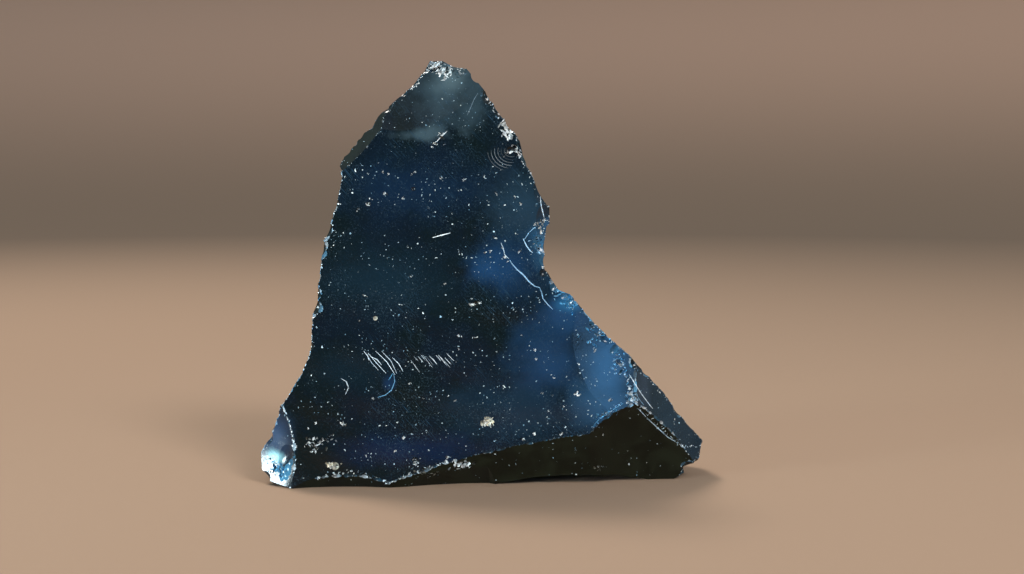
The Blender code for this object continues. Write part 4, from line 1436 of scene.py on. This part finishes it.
# noise: scale, detail, roughness, distortion; and the band of it that becomes 0 to 1
CLOUDS = (0.06, 4.0, 0.6, 0.4)
CLOUD_BAND = (0.4, 0.62)
MOTTLE = (0.11, 4.0, 0.65, 0.5)
MOTTLE_BAND = (0.40, 0.60)
clouds = noise_node(tree, in_mm, *CLOUDS)
cold = mix_colour(tree, remap(tree, clouds, *CLOUD_BAND), DEEP_GREEN, DEEP_BLUE)
# painted reflections laid over the glass's own cold tones
for centre, reach, ragged, tint in PAINTED_REFLECTIONS:
    patch = add_group(reflection_patch, in_mm, Centre=centre, Reach=reach, Ragged=ragged)
    cold = mix_colour(tree, patch.outputs["Mask"], cold, tint)
mottle = remap(tree, noise_node(tree, in_mm, *MOTTLE), *MOTTLE_BAND)
warm = mix_colour(tree, mottle, DEEP_WARM, DEEP_OLIVE)
# painted light: the warm tone with its painted floor reflection where the mark is low, the painted cold
# reflections where it is high
colour = mix_colour(tree, marks["sheen"], warm, cold)
print("nodes so far:", len(tree.nodes))

# %% Streaks and dust
STREAKS = [
    # turn about Y in degrees, density along X, Y and Z, share, colour
    (-48.0, (0.20, 0.1, 4.2), 0.44, (0.018, 0.048, 0.082)),
    (74.0, (0.24, 0.1, 3.6), 0.40, (0.012, 0.028, 0.040)),
]
# a band of four also says what its two ends become
DRIFT = (0.08, 3.0, 0.6, 0.6)
DRIFT_BAND = (0.35, 0.65, 0.25, 1.0)
DUST = (2.2, 4.0, 0.8)
DUST_BAND = (0.50, 0.72)
DUST_SHARE = 0.55
DUST_COLOUR = (0.034, 0.062, 0.080)
drift = remap(tree, noise_node(tree, in_mm, *DRIFT), *DRIFT_BAND)
shown = math_node(tree, "MULTIPLY", drift, marks["sheen"])
for turn, density, share, tint in STREAKS:
    lines = add_group(streaks, in_mm, Turn=(0.0, math.radians(turn), 0.0), Density=density, Share=share)
    colour = mix_colour(tree, math_node(tree, "MULTIPLY", lines.outputs["Mask"], shown), colour, tint)
dust = math_node(tree, "MULTIPLY", remap(tree, noise_node(tree, in_mm, *DUST), *DUST_BAND), shown)
dusty = math_node(tree, "MULTIPLY", dust, DUST_SHARE)
colour = mix_colour(tree, dusty, colour, DUST_COLOUR)
print("streaks:", len(STREAKS), "ways")

# %% [markdown]
# Grains aren't round, so the coordinates are pushed about a little before the specks are cut
# from them.  A broad noise gathers the specks in some places and thins them out in others.

# %% Specks
SPECKS = [
    # cell, size, share, colour of the bluest grain, colour of the palest
    (2.7, 0.26, 0.20, (0.50, 0.74, 0.88), (0.95, 0.95, 0.88)),
    (1.5, 0.20, 0.32, (0.30, 0.54, 0.70), (0.92, 0.93, 0.86)),
    (0.85, 0.16, 0.80, (0.12, 0.24, 0.32), (0.52, 0.56, 0.54)),
]
BEND_SCALE = 1.7
BEND_MOST = (0.9, 0.9, 0.9)
GATHER = (0.07, 3.0, 0.6)
GATHER_BAND = (0.36, 0.60, 0.35, 1.0)
COLD_REFLECTION_BAND = (0.0, 1.0, 0.35, 1.0)
push = tree.nodes.new("ShaderNodeTexNoise")
tree.links.new(in_mm, push.inputs["Vector"])
push.inputs["Scale"].default_value = BEND_SCALE
push.inputs["Detail"].default_value = 1.0
bent = vector_node(tree, "MULTIPLY_ADD", push.outputs["Color"], BEND_MOST, in_mm)
gathering = remap(tree, noise_node(tree, in_mm, *GATHER), *GATHER_BAND)
# fewer specks where the share of painted cold reflection is low
gathering = math_node(tree, "MULTIPLY", gathering, remap(tree, marks["sheen"], *COLD_REFLECTION_BAND))
speck_masks = []
for cell, size, share, bluest, palest in SPECKS:
    layer = add_group(specks, bent, Cell=cell, Size=size)
    tree.links.new(math_node(tree, "MULTIPLY", gathering, share), layer.inputs["Share"])
    tint = mix_colour(tree, layer.outputs["Tint"], bluest, palest)
    colour = mix_colour(tree, layer.outputs["Mask"], colour, tint)
    speck_masks.append(layer.outputs["Mask"])
print("sizes of specks:", [size for _, size, *_ in SPECKS], "mm")

# %% Broken spots: white, painted blue glint and cream
BREAKS = (1.6, 3.0, 0.7)
BREAK_BAND = (0.38, 0.6)
BREAK_LEAST = 0.6
CRUSH_BAND = (0.1, 1.0)
WHITE = (0.94, 0.96, 0.95)
# a painted glint: the pale blue that a chip facing the light shows
PAINTED_GLINT_BLUE = (0.14, 0.52, 0.84)
CRUST_CREAM = (0.98, 0.90, 0.72)
splintered = remap(tree, noise_node(tree, in_mm, *BREAKS), *BREAK_BAND)
splintered = math_node(tree, "MULTIPLY", splintered, 1.0 - BREAK_LEAST)
broken = math_node(tree, "ADD", BREAK_LEAST, splintered)
crushed = math_node(tree, "MULTIPLY", remap(tree, marks["crush"], *CRUSH_BAND), broken, clamp=True)
# the painted glint, broken up like the crushed spots
glinting = math_node(tree, "MULTIPLY", marks["glint"], broken, clamp=True)
creamy = math_node(tree, "MULTIPLY", marks["cream"], broken, clamp=True)
for mask, tint in ((crushed, WHITE), (glinting, PAINTED_GLINT_BLUE), (creamy, CRUST_CREAM)):
    colour = mix_colour(tree, mask, colour, tint)
tree.links.new(colour, shader.inputs["Base Color"])
print("nodes so far:", len(tree.nodes))

# %% [markdown]
# The bare glass is almost a mirror, and whatever covers or breaks it is duller.  A faint bump
# of fine grit takes the machined look off the reflections, and the large specks stand out in it.

# %% Gloss and bump
SMOOTHEST = 0.12
CLOUDED = 0.10
COVERED = 0.35
GRIT = (1.4, 5.0, 0.65)
SPECK_HEIGHT = 1.5
BUMP_STRENGTH = 0.16
BUMP_DEPTH = 0.2 * MM
GLASS_IOR = 1.49
GLASS_SPECULAR = 0.36
rough = math_node(tree, "ADD", SMOOTHEST, math_node(tree, "MULTIPLY", clouds, CLOUDED))
for mask in (*speck_masks, dusty, crushed, creamy):
    rough = math_node(tree, "ADD", rough, math_node(tree, "MULTIPLY", mask, COVERED), clamp=True)
tree.links.new(rough, shader.inputs["Roughness"])
shader.inputs["IOR"].default_value = GLASS_IOR
shader.inputs["Specular IOR Level"].default_value = GLASS_SPECULAR
bump = tree.nodes.new("ShaderNodeBump")
bump.inputs["Strength"].default_value = BUMP_STRENGTH
bump.inputs["Distance"].default_value = BUMP_DEPTH
height = math_node(tree, "ADD", noise_node(tree, in_mm, *GRIT),
                   math_node(tree, "MULTIPLY", speck_masks[0], SPECK_HEIGHT))
tree.links.new(height, bump.inputs["Height"])
tree.links.new(bump.outputs["Normal"], shader.inputs["Normal"])
print("material nodes:", len(tree.nodes))

# %% [markdown]
# The stone gets its material and its name.

# %% The finished stone
stone.data.materials.clear()
stone.data.materials.append(glass)
stone.name = "volcanic_glass"
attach(stone, "root")
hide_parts("obsidian_chunk")
print(stone.name, "wears", glass.name)

# %% [markdown]
# ## Floor, light and camera
#
# The floor is a round disc, and its edge sweeps up into a wall with no corner, as rolled paper
# does behind a small product.  Floor and wall are turned from sections, as the cutters are, and
# share one plain material, whose colour fades from the floor's to the wall's.  Only the camera
# sees the wall, so it neither shades the stone nor shows in it.

# %% Round sheets
ROUND_STEPS = 96
SHEET_WELD = 0.1 * MM


def round_sheet(name, section, material):
    """A sheet turned about Z from a half section of (distance, height) in metres."""
    shape = bmesh.new()
    corners = [shape.verts.new((far, 0.0, high)) for far, high in section]
    for start, end in zip(corners, corners[1:]):
        shape.edges.new((start, end))
    bmesh.ops.spin(shape, geom=shape.verts[:] + shape.edges[:], axis=(0, 0, 1), cent=(0, 0, 0),
                   angle=2.0 * math.pi, steps=ROUND_STEPS, use_merge=True)
    bmesh.ops.remove_doubles(shape, verts=shape.verts, dist=SHEET_WELD)
    for side in shape.faces:
        side.smooth = True
    mesh = bpy.data.meshes.new(name)
    shape.to_mesh(mesh)
    shape.free()
    mesh.materials.append(material)
    sheet = placed(name, mesh)
    sheet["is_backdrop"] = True
    return sheet


print("sheets have", ROUND_STEPS, "sides")

# %% Pale paper
FLOOR_COLOUR = (0.280, 0.190, 0.132, 1.0)
WALL_COLOUR = (0.680, 0.410, 0.285, 1.0)
FADE_HEIGHT = 0.30
paper = bpy.data.materials.new("pale_paper")
paper.use_nodes = True
paper_tree = paper.node_tree
paper_shader = paper_tree.nodes["Principled BSDF"]
paper_shader.inputs["Roughness"].default_value = 1.0
paper_shader.inputs["Specular IOR Level"].default_value = 0.0
paper_place = paper_tree.nodes.new("ShaderNodeTexCoord")
paper_split = paper_tree.nodes.new("ShaderNodeSeparateXYZ")
paper_tree.links.new(paper_place.outputs["Object"], paper_split.inputs[0])
fade = paper_tree.nodes.new("ShaderNodeValToRGB")
fade.color_ramp.interpolation = "EASE"
fade.color_ramp.elements[0].color = FLOOR_COLOUR
fade.color_ramp.elements[1].color = WALL_COLOUR
paper_tree.links.new(math_node(paper_tree, "DIVIDE", paper_split.outputs["Z"], FADE_HEIGHT),
                     fade.inputs["Fac"])
paper_tree.links.new(fade.outputs["Color"], paper_shader.inputs["Base Color"])
print("the paper fades over", FADE_HEIGHT, "m")

# %% Floor and wall
FLOOR_MIDDLE = 0.25
FLOOR_REACH = 1.3
SWEEP_RADIUS = 0.5
SWEEP_STEPS = 16
WALL_TOP = 1.6
round_sheet("floor", [(0.0, 0.0), (FLOOR_MIDDLE, 0.0), (FLOOR_REACH, 0.0)], paper)
sweep = []
for i in range(SWEEP_STEPS + 1):
    turn = math.radians(90.0 * i / SWEEP_STEPS)
    sweep.append((FLOOR_REACH + SWEEP_RADIUS * math.sin(turn), SWEEP_RADIUS * (1.0 - math.cos(turn))))
sweep.append((FLOOR_REACH + SWEEP_RADIUS, WALL_TOP))
wall = round_sheet("wall", sweep, paper)
wall.visible_diffuse = False
wall.visible_glossy = False
wall.visible_shadow = False
print("floor", 2 * FLOOR_REACH, "m across, wall", WALL_TOP, "m high")

# %% [markdown]
# A dark mirror shows the room, so the room is planned like a piece.  It is dim and a little blue
# near the ground, and paler towards the ceiling.  A world ramp over the height of the direction
# looked in gives that without any walls.

# %% The room's light
ROOM_LIGHT = [
    # height of the direction looked in (0 level, 1 straight up), colour
    (0.00, (0.090, 0.175, 0.220)),
    (0.12, (0.120, 0.220, 0.280)),
    (0.34, (0.21, 0.32, 0.40)),
    (1.00, (0.48, 0.54, 0.60)),
]
world = bpy.data.worlds.new("room")
bpy.context.scene.world = world
world.use_nodes = True
room = world.node_tree
looking = room.nodes.new("ShaderNodeTexCoord")
heights = room.nodes.new("ShaderNodeSeparateXYZ")
room.links.new(looking.outputs["Generated"], heights.inputs[0])
ramp = room.nodes.new("ShaderNodeValToRGB")
room.links.new(heights.outputs["Z"], ramp.inputs["Fac"])
stops = ramp.color_ramp.elements
while len(stops) < len(ROOM_LIGHT):
    stops.new(0.5)
for stop, (height, tint) in zip(stops, ROOM_LIGHT):
    stop.position = height
    stop.color = (*tint, 1.0)
room.links.new(ramp.outputs["Color"], room.nodes["Background"].inputs["Color"])
print("room light:", len(ROOM_LIGHT), "heights")

# %% [markdown]
# Five soft boxes light the stone.  The key box stands high behind it on the left and draws the
# rims and the shadow.  The front box lights the broad face.  The blue one, low on the right of
# the camera, lies where the slope mirrors it.  The left one strikes the toe and the left rim,
# and the right one the facet at the tip.  The last three have a narrow spread, so that they
# don't spill onto the paper.

# %% Soft boxes
SOFT_BOXES = {
    # place, width, height, power in watts, spread in degrees, colour
    "key_box": ((-0.42, 0.36, 0.95), 0.26, 0.26, 11.0, 180.0, (1.0, 0.95, 0.88)),
    "front_box": ((0.46, -0.62, 0.66), 0.25, 0.25, 7.5, 180.0, (1.0, 0.98, 0.95)),
    "blue_box": ((0.262, -0.91, 0.15), 0.22, 0.22, 0.04, 40.0, (0.20, 0.50, 1.0)),
    "left_box": ((-0.62, -0.33, 0.055), 0.20, 0.09, 0.42, 40.0, (0.75, 0.93, 1.0)),
    "right_box": ((0.79, -0.14, 0.12), 0.25, 0.20, 0.006, 40.0, (0.70, 0.85, 1.0)),
}
STONE_MIDDLE = Vector((0.0, 0.0, 0.045))
for name, (place, wide, high, power, spread, tint) in SOFT_BOXES.items():
    lamp = bpy.data.lights.new(name, "AREA")
    lamp.shape = "RECTANGLE"
    lamp.size = wide
    lamp.size_y = high
    lamp.energy = power
    lamp.spread = math.radians(spread)
    lamp.color = tint
    box = placed(name, lamp)
    box.location = place
    box.rotation_euler = (STONE_MIDDLE - Vector(place)).to_track_quat("-Z", "Y").to_euler()
    box.visible_camera = False
print("soft boxes:", ", ".join(SOFT_BOXES))

# %% [markdown]
# The camera looks at the broad face from a little above, with a normal lens.  Colours are shown
# with the Standard view, which keeps the darks of the glass as they are.

# %% Camera
CAMERA_TARGET = Vector((0.00719, -0.02312, 0.05117))
CAMERA_DISTANCE = 0.355
CAMERA_RISE = math.radians(5.0)
camera_data = bpy.data.cameras.new("camera")
camera_data.lens = 50.0
camera_data.sensor_width = 36.0
camera_data.clip_start = 0.01
camera = placed("camera", camera_data)
back = Vector((0.0, -math.cos(CAMERA_RISE), math.sin(CAMERA_RISE)))
camera.location = CAMERA_TARGET + back * CAMERA_DISTANCE
camera.rotation_euler = (-back).to_track_quat("-Z", "Y").to_euler()
bpy.context.scene.camera = camera
bpy.context.scene.view_settings.view_transform = "Standard"
print("camera at", [round(c, 3) for c in camera.location])

# %% [markdown]
# Last, the script measures what it made and prints the dressed stone's box, which can be set
# beside the imported stone's box printed at the start.

# %% Sizes, and the end
low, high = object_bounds()
print("visual box:", [round(size / MM, 1) for size in high - low], "mm")
